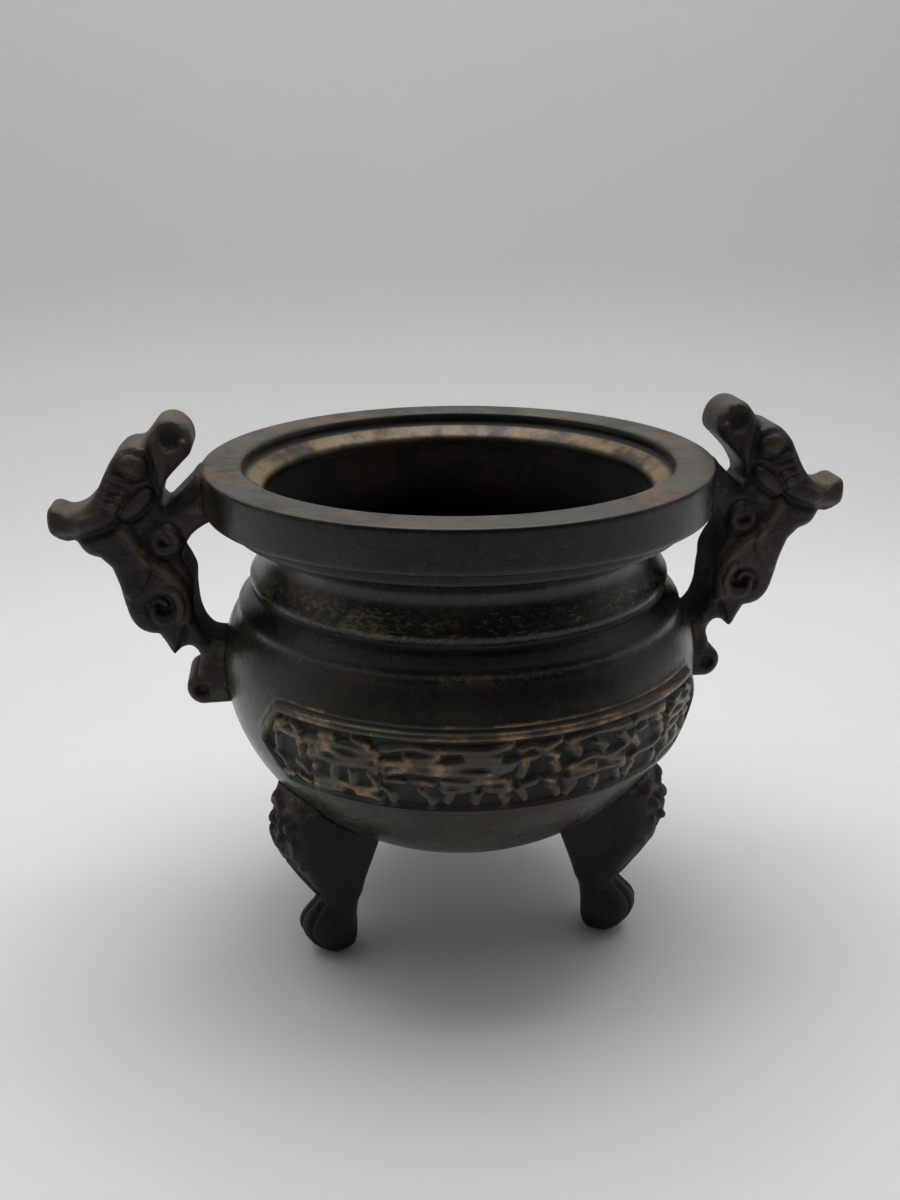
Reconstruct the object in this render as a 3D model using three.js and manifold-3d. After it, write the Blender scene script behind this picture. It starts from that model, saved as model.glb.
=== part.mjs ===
// A small cast censer: an open bowl, two beast-head handles and three legs. Millimetres, +Z up.
import * as THREE from 'three';
import { mergeVertices } from 'three/addons/utils/BufferGeometryUtils.js';
import Module from 'manifold-3d';

const wasm = await Module();
wasm.setup();

// Bowl: heights add up from the floor to the rim
const FOOT_LIFT = 21.2; // floor to the underside of the belly
const LOWER_BELLY = 43.5; // underside to the widest level
const SHOULDER_HEIGHT = 17.2; // widest level to the foot of the neck
const NECK_HEIGHT = 17.4; // foot of the neck to the underside of the rim
const RIM_BAND = 9; // height of the rim's upright band
const COLLAR_HEIGHT = 3.5; // thin collar right under the rim
const BELLY_RADIUS = 52;
const SHOULDER_RADIUS = 45.2; // at the foot of the neck
const NECK_RADIUS = 42.8; // at the narrowest level
const COLLAR_RADIUS = 49;
const RIM_RADIUS = 54;
const MOUTH_RADIUS = 45.6; // inner edge of the rim's flat top
const THROAT_RADIUS = 41.1; // inner edge of the sloping ledge
const SEAT_DEPTH = 2.9; // upright wall of the lid seat
const LEDGE_DROP = 2.4;
const WALL = 3;
const RIM_EASE = 0.4; // small break on the rim's sharp edges
const RIDGE_RISE = 0.9; // worn ridge at the foot of the neck
const STEP_RISE = 0.3; // two soft steps on the shoulder

// Long raised panel on the front of the belly
const PANEL_HEIGHT = 18.3;
const PANEL_BELOW_WIDEST = 5.4; // its middle line, under the belly's widest level
const PANEL_LENGTH = 112; // tip to tip, along the belly
const PANEL_TURN = 4; // degrees from the point midway between the handles to its middle
const PANEL_POINT = 7; // length of each pointed end
const PANEL_RISE = 1.2;
const PANEL_GROUND = 0.15; // sunk ground inside the frame
const PANEL_FRAME = 1.2;
const STROKE_BLOCKS = 4;
const STROKE_WIDTH = 1.8;
const STROKE_GAP = 1.3;
const STROKE_RISE = 1;

// Handles
const HANDLE_THICKNESS = 14.4;
const HANDLE_EDGE = 1.6; // rounding of the edges
const SNOUT_SHARE = 0.82; // thickness at the snout, as a share
const VOLUTE_RADIUS = 3.3;
const RIDGE_RADIUS = 0.9; // raised lines of the carving
const RIDGE_SINK = 0.2; // how far their middle lies under the face

// Legs
const LEG_WIDTH = 12; // at the knee
const ANKLE_SHARE = 0.7; // width at the ankle, as a share of the knee's
const PAW_SHARE = 0.92;
const LEG_EDGE = 2.2;
const EYE_RADIUS = 1.5; // eyes of the mask
const TOE_CREASE = 0.6;
const LEG_INSET = 17; // sole's centre, inside the belly's widest radius
const KNEE_RISE = 21.5; // top of the knee above the underside of the belly
const LEG_AZIMUTHS = { foot_front_left: -150, foot_front_right: -30, foot_back: 90 };

const JOINT_GAP = 0.3; // seam between the bowl and what is brazed to it
const BURY = 6; // how far a leg or handle blank runs into the bowl before it is cut
const ROUND_SIDES = 32;

const WIDEST = FOOT_LIFT + LOWER_BELLY;
const NECK_FOOT = WIDEST + SHOULDER_HEIGHT;
const RIM_UNDERSIDE = NECK_FOOT + NECK_HEIGHT;
const RIM_TOP = RIM_UNDERSIDE + RIM_BAND;
const SEAT_FLOOR = RIM_TOP - SEAT_DEPTH;
const PANEL_MIDDLE = WIDEST - PANEL_BELOW_WIDEST;
const PANEL_AZIMUTH = THREE.MathUtils.degToRad(PANEL_TURN - 90);

const BRONZE = new THREE.MeshStandardMaterial({ color: 0x3d4238, metalness: 0.8, roughness: 0.5 });
const DARK_BRONZE = new THREE.MeshStandardMaterial({ color: 0x2b231d, metalness: 0.7, roughness: 0.6 });

const point = (x, y) => new THREE.Vector2(x, y);
const mix = (from, to, share) => from + (to - from) * share;
const smooth = (low, high, value) => THREE.MathUtils.smoothstep(value, low, high);

// Closed solids from vertices and triangles, and back
function solidFrom(vertices, triangles) {
  const mesh = new wasm.Mesh({
    numProp: 3,
    vertProperties: new Float32Array(vertices),
    triVerts: new Uint32Array(triangles),
  });
  return new wasm.Manifold(mesh);
}

function signedVolume(vertices, triangles) {
  const corner = (index) => new THREE.Vector3().fromArray(vertices, 3 * index);
  let volume = 0;
  for (let i = 0; i < triangles.length; i += 3) {
    const [a, b, c] = [corner(triangles[i]), corner(triangles[i + 1]), corner(triangles[i + 2])];
    volume += a.dot(b.cross(c)) / 6;
  }
  return volume;
}

function solid(geometry) {
  geometry.deleteAttribute('normal');
  geometry.deleteAttribute('uv');
  const merged = mergeVertices(geometry, 1e-4);
  const vertices = merged.attributes.position.array;
  const triangles = [];
  for (let i = 0; i < merged.index.count; i += 3) {
    const [a, b, c] = [0, 1, 2].map((corner) => merged.index.getX(i + corner));
    if (a !== b && b !== c && c !== a) {
      triangles.push(a, b, c);
    }
  }
  if (signedVolume(vertices, triangles) < 0) {
    triangles.reverse();
  }
  return solidFrom(vertices, triangles);
}

function geometryOf(body) {
  const mesh = body.getMesh();
  const geometry = new THREE.BufferGeometry();
  geometry.setAttribute('position', new THREE.BufferAttribute(new Float32Array(mesh.vertProperties), 3));
  geometry.setIndex(Array.from(mesh.triVerts));
  geometry.computeVertexNormals();
  return geometry;
}

function turned(profile) {
  const geometry = new THREE.LatheGeometry(profile, ROUND_SIDES);
  geometry.rotateX(Math.PI / 2);
  return solid(geometry);
}

// Belly and shoulder are two ellipses that meet at the widest level
const shoulderReach = SHOULDER_HEIGHT / Math.sqrt(1 - (SHOULDER_RADIUS / BELLY_RADIUS) ** 2);

function bellyPoint(angle, inset) {
  const height = angle < 0 ? LOWER_BELLY : shoulderReach;
  const along = point(BELLY_RADIUS * Math.cos(angle), height * Math.sin(angle));
  const normal = point(height * Math.cos(angle), BELLY_RADIUS * Math.sin(angle)).normalize();
  along.addScaledVector(normal, -inset);
  return point(Math.max(along.x, 0), WIDEST + along.y);
}

function bellyArc(fromAngle, toAngle, steps, inset) {
  const points = [];
  for (let step = 0; step <= steps; step++) {
    points.push(bellyPoint(mix(fromAngle, toAngle, step / steps), inset));
  }
  return points;
}

function bellyRadius(height) {
  const reach = height < WIDEST ? LOWER_BELLY : shoulderReach;
  return BELLY_RADIUS * Math.sqrt(1 - ((height - WIDEST) / reach) ** 2);
}

const neckAngle = Math.asin(SHOULDER_HEIGHT / shoulderReach);

// Shoulder with two soft steps, from the widest level to the foot of the neck
function shoulderProfile() {
  const shares = [0.3, 0.5, 0.58, 0.66, 0.74, 0.87];
  return shares.map((share, index) => {
    const height = WIDEST + share * SHOULDER_HEIGHT;
    const raised = index === 2 || index === 4 ? STEP_RISE : 0;
    return point(bellyRadius(height) + raised, height);
  });
}

// Ridge, hollow neck and the roll under the collar
function neckProfile() {
  const up = (share) => NECK_FOOT + share * (NECK_HEIGHT - COLLAR_HEIGHT);
  return [
    point(SHOULDER_RADIUS - RIDGE_RISE, up(0)),
    point(SHOULDER_RADIUS - RIDGE_RISE / 4, up(0.12)),
    point(mix(NECK_RADIUS, SHOULDER_RADIUS, 0.5), up(0.32)),
    point(NECK_RADIUS, up(0.58)),
    point(mix(NECK_RADIUS, COLLAR_RADIUS, 0.12), up(0.8)),
    point(mix(NECK_RADIUS, COLLAR_RADIUS, 0.38), up(0.95)),
    point(COLLAR_RADIUS, up(1)),
    point(COLLAR_RADIUS, RIM_UNDERSIDE),
  ];
}

function rimProfile() {
  return [
    point(RIM_RADIUS - RIM_EASE, RIM_UNDERSIDE),
    point(RIM_RADIUS, RIM_UNDERSIDE + RIM_EASE),
    point(RIM_RADIUS, RIM_TOP - RIM_EASE),
    point(RIM_RADIUS - RIM_EASE, RIM_TOP),
  ];
}

function outsideProfile() {
  return [
    ...bellyArc(-Math.PI / 2, 0, 8, 0),
    ...shoulderProfile(),
    ...neckProfile(),
    ...rimProfile(),
  ];
}

// Lid seat, sloping ledge, throat and the hollow inside
function insideProfile() {
  const ledgeFoot = SEAT_FLOOR - LEDGE_DROP;
  const innerNeck = NECK_RADIUS - WALL;
  return [
    point(MOUTH_RADIUS + RIM_EASE, RIM_TOP),
    point(MOUTH_RADIUS, RIM_TOP - RIM_EASE),
    point(MOUTH_RADIUS, SEAT_FLOOR),
    point(mix(THROAT_RADIUS, MOUTH_RADIUS, 0.45), mix(ledgeFoot, SEAT_FLOOR, 0.36)),
    point(THROAT_RADIUS, ledgeFoot),
    point(mix(innerNeck, THROAT_RADIUS, 0.5), RIM_UNDERSIDE - COLLAR_HEIGHT),
    point(innerNeck, NECK_FOOT + NECK_HEIGHT * 0.4),
    ...bellyArc(neckAngle, 0, 2, WALL),
    ...bellyArc(-Math.PI / 12, -Math.PI / 2, 5, WALL),
  ];
}

// The outside grown by a seam, for cutting what is brazed to the bowl
function grown(profile, seam) {
  return profile.map((corner, index) => {
    const before = profile[Math.max(index - 1, 0)];
    const after = profile[Math.min(index + 1, profile.length - 1)];
    const along = after.clone().sub(before).normalize();
    const moved = point(corner.x + along.y * seam, corner.y - along.x * seam);
    return corner.x < seam ? point(0, corner.y - seam) : moved;
  });
}

function bowlCutter() {
  const outside = grown(outsideProfile(), JOINT_GAP);
  const top = outside[outside.length - 1];
  return turned([...outside, point(0, top.y)]);
}

// Panel: blocks bent round the bowl, each a row of columns between two radii
function bentBlock(columns) {
  const inner = BELLY_RADIUS - 4 * WALL;
  const outer = BELLY_RADIUS + 2 * WALL;
  const vertices = [];
  const triangles = [];
  for (const { arc, low, high } of columns) {
    const angle = PANEL_AZIMUTH + arc / BELLY_RADIUS;
    for (const [radius, height] of [[inner, low], [outer, low], [outer, high], [inner, high]]) {
      vertices.push(radius * Math.cos(angle), radius * Math.sin(angle), height);
    }
  }
  const last = 4 * (columns.length - 1);
  for (let first = 0; first < last; first += 4) {
    for (let side = 0; side < 4; side++) {
      const a = first + side;
      const b = first + ((side + 1) % 4);
      triangles.push(b, a, a + 4, b, a + 4, b + 4);
    }
  }
  triangles.push(0, 1, 2, 0, 2, 3, last, last + 2, last + 1, last, last + 3, last + 2);
  return solidFrom(vertices, triangles);
}

function panelOutline(inset) {
  const half = PANEL_LENGTH / 2 - inset;
  const halfHeight = PANEL_HEIGHT / 2 - inset;
  const columnCount = 12;
  const columns = [];
  for (let column = 0; column <= columnCount; column++) {
    const arc = mix(-half, half, column / columnCount);
    const open = Math.min((half - Math.abs(arc)) / PANEL_POINT, 1);
    const rise = Math.max(halfHeight * open, PANEL_FRAME / 4);
    columns.push({ arc, low: PANEL_MIDDLE - rise, high: PANEL_MIDDLE + rise });
  }
  return bentBlock(columns);
}

// The belly's own surface, raised, over the panel's height
function raisedBelly(rise) {
  const margin = 2;
  const rows = 2;
  const profile = [];
  for (let row = 0; row <= rows; row++) {
    const low = PANEL_MIDDLE - PANEL_HEIGHT / 2 - margin;
    const height = low + ((PANEL_HEIGHT + 2 * margin) * row) / rows;
    profile.push(point(bellyRadius(height) + rise, height));
  }
  const inside = BELLY_RADIUS - 3 * WALL;
  const closed = [point(inside, profile[0].y), ...profile, point(inside, profile[rows].y)];
  closed.push(closed[0].clone());
  return turned(closed);
}

// Shallow strokes: bars across the top of each block, uprights and a hook below
function strokesOfBlock(block) {
  const pitch = (PANEL_LENGTH - 2 * PANEL_POINT + STROKE_GAP) / STROKE_BLOCKS;
  const middle = (block - (STROKE_BLOCKS - 1) / 2) * pitch;
  const half = (pitch - STROKE_GAP) / 2;
  const top = PANEL_MIDDLE + PANEL_HEIGHT / 2 - PANEL_FRAME - STROKE_GAP;
  const bottom = 2 * PANEL_MIDDLE - top;
  const step = STROKE_WIDTH + STROKE_GAP;
  const strokes = [];
  for (let bar = 0; bar < 3; bar++) {
    const reach = half * ((bar + block) % 2 === 0 ? 0.55 : 0.92);
    const high = top - bar * step;
    const centre = middle + (bar - 1) * 0.08 * half * (block % 2 === 0 ? 1 : -1);
    strokes.push({ from: centre - reach, to: centre + reach, high, low: high - STROKE_WIDTH });
  }
  const uprightTop = top - 3 * step;
  for (let upright = 0; upright < 4; upright++) {
    const arc = middle + half * mix(-0.85, 0.85, upright / 3);
    const drop = (upright + block) % 2 === 0 ? 0 : 0.35;
    const low = mix(bottom, uprightTop, drop);
    strokes.push({ from: arc - STROKE_WIDTH / 2, to: arc + STROKE_WIDTH / 2, high: uprightTop, low });
  }
  return strokes;
}

function strokeBlock({ from, to, low, high }) {
  return bentBlock([from, to].map((arc) => ({ arc, low, high })));
}

function panel() {
  const sunk = panelOutline(PANEL_FRAME).subtract(raisedBelly(PANEL_GROUND));
  let body = panelOutline(0).intersect(raisedBelly(PANEL_RISE)).subtract(sunk);
  const raised = raisedBelly(STROKE_RISE);
  for (let block = 0; block < STROKE_BLOCKS; block++) {
    for (const stroke of strokesOfBlock(block)) {
      body = body.add(strokeBlock(stroke).intersect(raised));
    }
  }
  return body;
}

function bowl() {
  const above = RIM_TOP + WALL;
  const hollow = turned([point(0, above), point(MOUTH_RADIUS + RIM_EASE, above), ...insideProfile()]);
  const outside = outsideProfile();
  const body = turned([...outside, point(0, RIM_TOP)]);
  return body.add(panel()).subtract(hollow);
}

// Handles: drawn flat, out from the line that joins the rim's side to the belly, and up from the rim
const VOLUTE_DROP = 48.3; // rim's top to the centre of the lower volute
const VOLUTE_OUT = 5.1; // its centre, out from the drawing line
const VOLUTE_HEIGHT = RIM_TOP - VOLUTE_DROP;

function handlePoint(out, up) {
  const lean = (bellyRadius(VOLUTE_HEIGHT) - RIM_RADIUS) / VOLUTE_DROP;
  return point(RIM_RADIUS - lean * up + out, RIM_TOP + up);
}

const rimWeb = [[-6, -0.6], [0, -1], [2.1, -2.6], [4.6, -4.9], [6.6, -6.7]];
const slotFoot = [[7.6, -7.3], [8.6, -6.2], [7, -1.9], [3.3, 1.8], [1.2, 3.4]];
const ear = [[0.8, 5.8], [1.2, 8.4], [2.9, 10.3], [4.8, 10.8], [6.9, 10.3], [8.8, 8.1], [10.9, 6]];
const brow = [[13, 5.8], [14.8, 5], [17.3, 2.7], [19.1, -0.2], [20.6, -2.8], [22.2, -5.2]];
const snout = [[24.6, -7.3], [27.6, -8.3], [30.2, -7.6], [31.5, -8.6], [32, -10.3], [31.5, -12], [30, -13.1]];
const chin = [[28.2, -13.5], [26.2, -13.6], [25, -16], [24, -17.1], [22.2, -17.6]];
const throat = [[20.2, -20], [19.2, -24], [18.9, -27.8]];
const scroll = [[18.2, -31.8], [16.8, -34], [15, -35.1], [12.9, -35.3]];
const leaf = [[11.4, -37.2], [10, -40], [8.3, -39.8], [5.8, -42.5]];
const innerStem = [[-6, -37.6], [0.4, -37.7], [2.6, -36.1], [3.8, -33.3], [4.2, -30.1], [4.1, -26.6]];
const innerJaw = [[3.8, -23.3], [4.6, -20.6], [5.7, -18.3], [4.4, -15.6], [2.4, -13], [-1.5, -10.8], [-6, -9.2]];

function voluteArc() {
  const points = [];
  for (let step = 0; step <= 7; step++) {
    const angle = mix(0.42, -0.56, step / 7) * Math.PI;
    const radius = mix(VOLUTE_RADIUS, 1.3 * VOLUTE_RADIUS, step / 7);
    points.push([VOLUTE_OUT + VOLUTE_RADIUS * Math.cos(angle), -VOLUTE_DROP + radius * Math.sin(angle)]);
  }
  return [...points, [-BURY, -VOLUTE_DROP - 1.2 * VOLUTE_RADIUS]];
}

function curveThrough(group) {
  const points = group.map(([out, up]) => handlePoint(out, up));
  return new THREE.SplineCurve(points).getPoints(group.length);
}

function handleOutline() {
  const head = [...slotFoot, ...ear, ...brow, ...snout];
  const back = [...throat, ...scroll];
  const groups = [rimWeb, head, chin, back, leaf, voluteArc(), [...innerStem, ...innerJaw]];
  return new THREE.Shape(groups.flatMap(curveThrough));
}

function handleHalfThickness(out) {
  const taper = smooth(RIM_RADIUS + 20, RIM_RADIUS + 33, out);
  return (HANDLE_THICKNESS / 2) * mix(1, SNOUT_SHARE, taper);
}

function handleBlank() {
  const edge = HANDLE_EDGE;
  const geometry = new THREE.ExtrudeGeometry(handleOutline(), {
    depth: HANDLE_THICKNESS - 2 * edge, steps: 1, curveSegments: 1,
    bevelEnabled: true, bevelThickness: edge, bevelSize: edge,
    bevelOffset: -edge, bevelSegments: 1,
  });
  geometry.translate(0, 0, -HANDLE_THICKNESS / 2 + edge);
  geometry.rotateX(Math.PI / 2);
  const position = geometry.attributes.position;
  for (let i = 0; i < position.count; i++) {
    const share = handleHalfThickness(position.getX(i)) / (HANDLE_THICKNESS / 2);
    position.setY(i, position.getY(i) * share);
  }
  return solid(geometry);
}

// Carving of one face of a handle: raised lines, bosses and hollows
const raisedLines = [
  [[10.5, -0.8], [14, 0.2], [16.6, -0.8]],
  [[11.5, -2.6], [15, -1.8], [17.8, -2.8]],
  [[12.6, -4.6], [16, -3.8], [19, -5]],
  [[16.4, -6.4], [20, -8.6], [23.4, -12]],
  [[16.2, -11.6], [13.6, -17], [9.8, -20.4], [6.6, -26], [6.4, -32]],
  [[13.4, -17.6], [13.6, -22], [15.4, -25.6], [17.6, -29.6]],
];

function facePoint([out, up], side, depth) {
  const place = handlePoint(out, up);
  return new THREE.Vector3(place.x, side * (handleHalfThickness(place.x) - depth), place.y);
}

function tubeAlong(points, radius, steps) {
  const section = new THREE.Shape([point(radius, 0), point(0, radius), point(-radius, 0), point(0, -radius)]);
  const extrudePath = new THREE.CatmullRomCurve3(points);
  return solid(new THREE.ExtrudeGeometry(section, { steps, extrudePath, bevelEnabled: false }));
}

function boss(centre, radius, flatness) {
  const geometry = new THREE.SphereGeometry(radius, 6, 3);
  geometry.scale(1, flatness, 1);
  geometry.translate(centre.x, centre.y, centre.z);
  return solid(geometry);
}

function spiral(centre, outerRadius, turns, side) {
  const points = [];
  const steps = 4;
  for (let step = 0; step <= steps; step++) {
    const angle = (0.2 + turns * (step / steps)) * 2 * Math.PI;
    const radius = mix(outerRadius, outerRadius * 0.62, step / steps);
    const out = centre[0] + radius * Math.cos(angle);
    const up = centre[1] + radius * Math.sin(angle);
    points.push(facePoint([out, up], side, RIDGE_SINK));
  }
  return tubeAlong(points, RIDGE_RADIUS, steps);
}

function carveHandle(blank) {
  let body = blank;
  const scrollEye = [11.4, -29.1];
  const voluteEye = [VOLUTE_OUT, -VOLUTE_DROP];
  for (const side of [-1, 1]) {
    for (const line of raisedLines) {
      const points = line.map((place) => facePoint(place, side, RIDGE_SINK));
      body = body.add(tubeAlong(points, RIDGE_RADIUS, line.length - 1));
    }
    body = body.add(boss(facePoint([12.7, 1.6], side, 0.4), 2.2, 0.7));
    body = body.add(boss(facePoint([12.6, -6.4], side, 0.4), 1.8, 0.6));
    body = body.add(spiral(scrollEye, 4.2, 0.8, side));
    body = body.add(spiral([8.9, -14.6], 2.4, 0.8, side));
    body = body.subtract(boss(facePoint(scrollEye, side, 0), 2.1, 1));
    body = body.subtract(boss(facePoint(voluteEye, side, 0), 1.5, 1));
    body = body.subtract(boss(facePoint([4.7, 6.8], side, 0), 2.4, 0.8));
  }
  return body;
}

// Legs: drawn flat, out from the sole's centre and up from the floor
const KNEE_TOP = FOOT_LIFT + KNEE_RISE;
const LEG_DRAWN = 41.5; // height of the knee's top in the drawing
const legFront = [[9, 44.5], [10.4, 41.6], [12.7, 34.6], [12.3, 32.9], [12.6, 30.6], [11, 25.4]];
const shin = [[8.2, 21], [5.2, 16.4], [3.5, 13.7]];
const pawFront = [[5.9, 11.4], [7.5, 9.6], [8, 7.6], [7.4, 5.2], [5.9, 2.9], [3.6, 1]];
const sole = [[2, 0], [-2, 0]];
const legBack = [[-2.8, 0.9], [-3.6, 3.6], [-4, 8], [-5.5, 14], [-7.8, 21], [-10, 29]];
const buried = [[-8, 36], [0, 43], [5, 46]];

function legPoint([out, up]) {
  return point(BELLY_RADIUS - LEG_INSET + out, (up / LEG_DRAWN) * KNEE_TOP);
}

function legOutline() {
  const curves = [legFront, shin, pawFront].map((group) => new THREE.SplineCurve(group.map(legPoint)));
  const front = curves.flatMap((curve) => curve.getPoints(curve.points.length));
  const back = new THREE.SplineCurve(legBack.map(legPoint)).getPoints(7);
  return new THREE.Shape([...front, ...sole.map(legPoint), ...back, ...buried.map(legPoint)]);
}

// Width of the leg at a height, as a share of the knee's
function legShare(height) {
  const level = (height / KNEE_TOP) * LEG_DRAWN;
  const ankle = mix(PAW_SHARE, ANKLE_SHARE, smooth(6, 14, level));
  return mix(ankle, 1, smooth(15, 28, level));
}

function legBlank() {
  const geometry = new THREE.ExtrudeGeometry(legOutline(), {
    depth: LEG_WIDTH - 2 * LEG_EDGE, steps: 1, curveSegments: 1,
    bevelEnabled: true, bevelThickness: LEG_EDGE, bevelSize: LEG_EDGE / 2,
    bevelOffset: -LEG_EDGE / 2, bevelSegments: 1,
  });
  geometry.translate(0, 0, -LEG_WIDTH / 2 + LEG_EDGE);
  geometry.rotateX(Math.PI / 2);
  const position = geometry.attributes.position;
  for (let i = 0; i < position.count; i++) {
    position.setY(i, position.getY(i) * legShare(position.getZ(i)));
  }
  return solid(geometry);
}

// Mask on the knee: brow, eyes, nose, cheeks, and the crease down to the ankle
function mask() {
  const at = (out, up, side) => {
    const place = legPoint([out, up]);
    return new THREE.Vector3(place.x, (side * LEG_WIDTH) / 2, place.y);
  };
  const brow = [[9.6, 39.8, -0.8], [11.6, 39.4, -0.4], [12.2, 37.4, 0], [11.6, 39.4, 0.4], [9.6, 39.8, 0.8]];
  const nose = [at(12.2, 37, 0), at(12.6, 33.6, 0), at(12.6, 29.4, 0)];
  const crease = [at(11.4, 27, 0), at(8.2, 21.6, 0), at(4.2, 15, 0)];
  const parts = [
    tubeAlong(brow.map((place) => at(...place)), RIDGE_RADIUS, 4),
    tubeAlong(nose, 1.3 * RIDGE_RADIUS, 2),
    tubeAlong(crease, RIDGE_RADIUS, 2),
  ];
  for (const side of [-1, 1]) {
    const cheek = [at(12.4, 29, 0), at(11.8, 28.4, side * 0.4), at(10.8, 31, side * 0.8)];
    parts.push(boss(at(11.4, 35.8, side * 0.48), EYE_RADIUS, 1));
    parts.push(tubeAlong(cheek, RIDGE_RADIUS, 2));
  }
  return parts;
}

// Two creases part the toes
function toeCreases() {
  return [-0.32, 0.32].map((side) => {
    const points = [[5.6, 12.4], [8, 8.8], [7.4, 4.6], [4.4, 1.2]].map((place) => {
      const flat = legPoint(place);
      return new THREE.Vector3(flat.x, (side * LEG_WIDTH * PAW_SHARE) / 2, flat.y);
    });
    return tubeAlong(points, TOE_CREASE, 3);
  });
}

function leg() {
  let body = legBlank();
  for (const part of mask()) {
    body = body.add(part);
  }
  for (const crease of toeCreases()) {
    body = body.subtract(crease);
  }
  return body;
}

function piece(name, body, material, turn) {
  const mesh = new THREE.Mesh(geometryOf(body), material);
  mesh.name = name;
  mesh.rotation.z = turn;
  return mesh;
}

function censer() {
  const group = new THREE.Group();
  const cutter = bowlCutter();
  group.add(piece('bowl', bowl(), BRONZE, 0));
  const handle = carveHandle(handleBlank()).subtract(cutter);
  group.add(piece('handle_right', handle, DARK_BRONZE, 0));
  group.add(piece('handle_left', handle, DARK_BRONZE, Math.PI));
  const foot = leg().subtract(cutter);
  for (const [name, azimuth] of Object.entries(LEG_AZIMUTHS)) {
    group.add(piece(name, foot, DARK_BRONZE, THREE.MathUtils.degToRad(azimuth)));
  }
  return group;
}

export default censer();
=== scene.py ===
import math

import bpy
import numpy as np
from mathutils import Matrix, Vector


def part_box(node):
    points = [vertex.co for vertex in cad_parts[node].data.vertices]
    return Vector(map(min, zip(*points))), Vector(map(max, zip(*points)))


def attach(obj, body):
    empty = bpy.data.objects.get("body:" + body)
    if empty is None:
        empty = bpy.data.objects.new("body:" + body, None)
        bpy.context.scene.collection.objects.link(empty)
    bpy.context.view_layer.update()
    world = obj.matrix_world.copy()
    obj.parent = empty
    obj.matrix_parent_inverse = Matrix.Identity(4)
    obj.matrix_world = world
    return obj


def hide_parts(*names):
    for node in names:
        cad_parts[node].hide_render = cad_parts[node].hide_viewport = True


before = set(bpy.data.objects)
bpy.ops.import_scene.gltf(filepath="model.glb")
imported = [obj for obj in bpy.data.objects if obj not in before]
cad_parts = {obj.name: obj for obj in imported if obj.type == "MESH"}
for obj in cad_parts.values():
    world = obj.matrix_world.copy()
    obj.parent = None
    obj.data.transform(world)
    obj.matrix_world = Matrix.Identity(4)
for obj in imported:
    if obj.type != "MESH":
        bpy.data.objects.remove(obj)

bl_info = {
    "name": "Cast bronze censer",
    "version": (1, 0, 0),
    "blender": (4, 5, 0),
    "location": "3D View > Sidebar > Censer",
    "description": "Builds a small three-legged censer with two beast-head handles",
    "category": "Add Mesh",
}

MM = 0.001
BOWL_LOW, BOWL_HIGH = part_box("bowl")
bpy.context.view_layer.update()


# Sizes and colours that a user would change

def length(name, description, millimetres):
    return bpy.props.FloatProperty(
        name=name, description=description, default=millimetres * MM, unit="LENGTH", precision=4)


def colour(name, description, value):
    return bpy.props.FloatVectorProperty(
        name=name, description=description, default=value, subtype="COLOR", min=0, max=1)


class BowlSizes(bpy.types.PropertyGroup):
    rim_top: length("Rim top", "Height of the rim's flat top", BOWL_HIGH[2] / MM)
    underside: length("Underside", "Height of the lowest point of the belly", BOWL_LOW[2] / MM)
    rim_radius: length("Rim radius", "Outer radius of the rim", 54)
    belly_radius: length("Belly radius", "Radius at the widest level", 52)
    shoulder_radius: length("Shoulder radius", "Radius at the foot of the neck", 45.2)
    neck_radius: length("Neck radius", "Narrowest radius of the neck", 42.8)
    mouth_radius: length("Mouth radius", "Inner radius of the rim's flat top", 45.6)
    throat_radius: length("Throat radius", "Inner radius of the sloping ledge", 41.1)
    wall: length("Wall", "Thickness of the cast wall", 3)
    panel_length: length("Panel length", "Length of the raised panel along the belly", 112)
    panel_height: length("Panel height", "Height of the raised panel", 18.3)
    panel_rise: length("Panel rise", "How far the panel's frame stands proud", 1.2)
    stroke_width: length("Stroke width", "Width of the panel's raised strokes", 1.95)


class HandleSizes(bpy.types.PropertyGroup):
    thickness: length("Thickness", "Width of a handle from side to side", 14.4)
    edge: length("Edge", "Rounding of a handle's edges", 1.8)
    relief: length("Relief", "Height of the carved ridges", 0.75)
    cell: length("Cell", "Fineness of the handle's mesh", 0.4)


class LegSizes(bpy.types.PropertyGroup):
    knee_width: length("Knee width", "Width of a leg at the knee", 13.4)
    edge: length("Edge", "Rounding of a leg's edges", 3.4)
    relief: length("Relief", "Height of the mask on the knee", 0.9)
    cell: length("Cell", "Fineness of a leg's mesh", 0.42)


class BronzeColours(bpy.types.PropertyGroup):
    patina: colour("Patina", "Dark patina of the bowl", (0.0056, 0.0062, 0.0043))
    rust: colour("Rust", "Brown patches in the patina", (0.046, 0.026, 0.015))
    # Copper: bare worn metal, also laid as a painted highlight on the panel's upper frame, its bead and
    # the brighter patches
    copper: colour("Copper", "Metal worn bare on ridges and strokes", (0.205, 0.130, 0.072))
    # Belly reflection: a lighter grey painted low on the belly, a painted reflection of the pale floor
    # with its sheen
    belly_reflection: colour("Belly grey", "Lighter worn patina low on the belly", (0.044, 0.042, 0.032))
    verdigris: colour("Verdigris", "Green-black dirt in the ground of the relief", (0.011, 0.014, 0.010))
    # Rim grey: rubbed wear on the rim's flat top, partly painted top light; the handles' painted top light
    # uses it too
    rim_grey: colour("Rim grey", "Rubbed flat top of the rim", (0.058, 0.054, 0.043))
    ledge_gold: colour("Ledge gold", "Worn sloping ledge inside the rim", (0.225, 0.150, 0.066))
    soot: colour("Soot", "Inside of the bowl", (0.0015, 0.0013, 0.0015))
    handle_brown: colour("Handle brown", "Patina of the handles", (0.0320, 0.0240, 0.0198))
    leg_brown: colour("Leg brown", "Patina of the legs", (0.0155, 0.0130, 0.0122))


# Small tools for shapes: all lengths in here are millimetres

def mixed(low, high, share):
    return low + (high - low) * share


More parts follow.
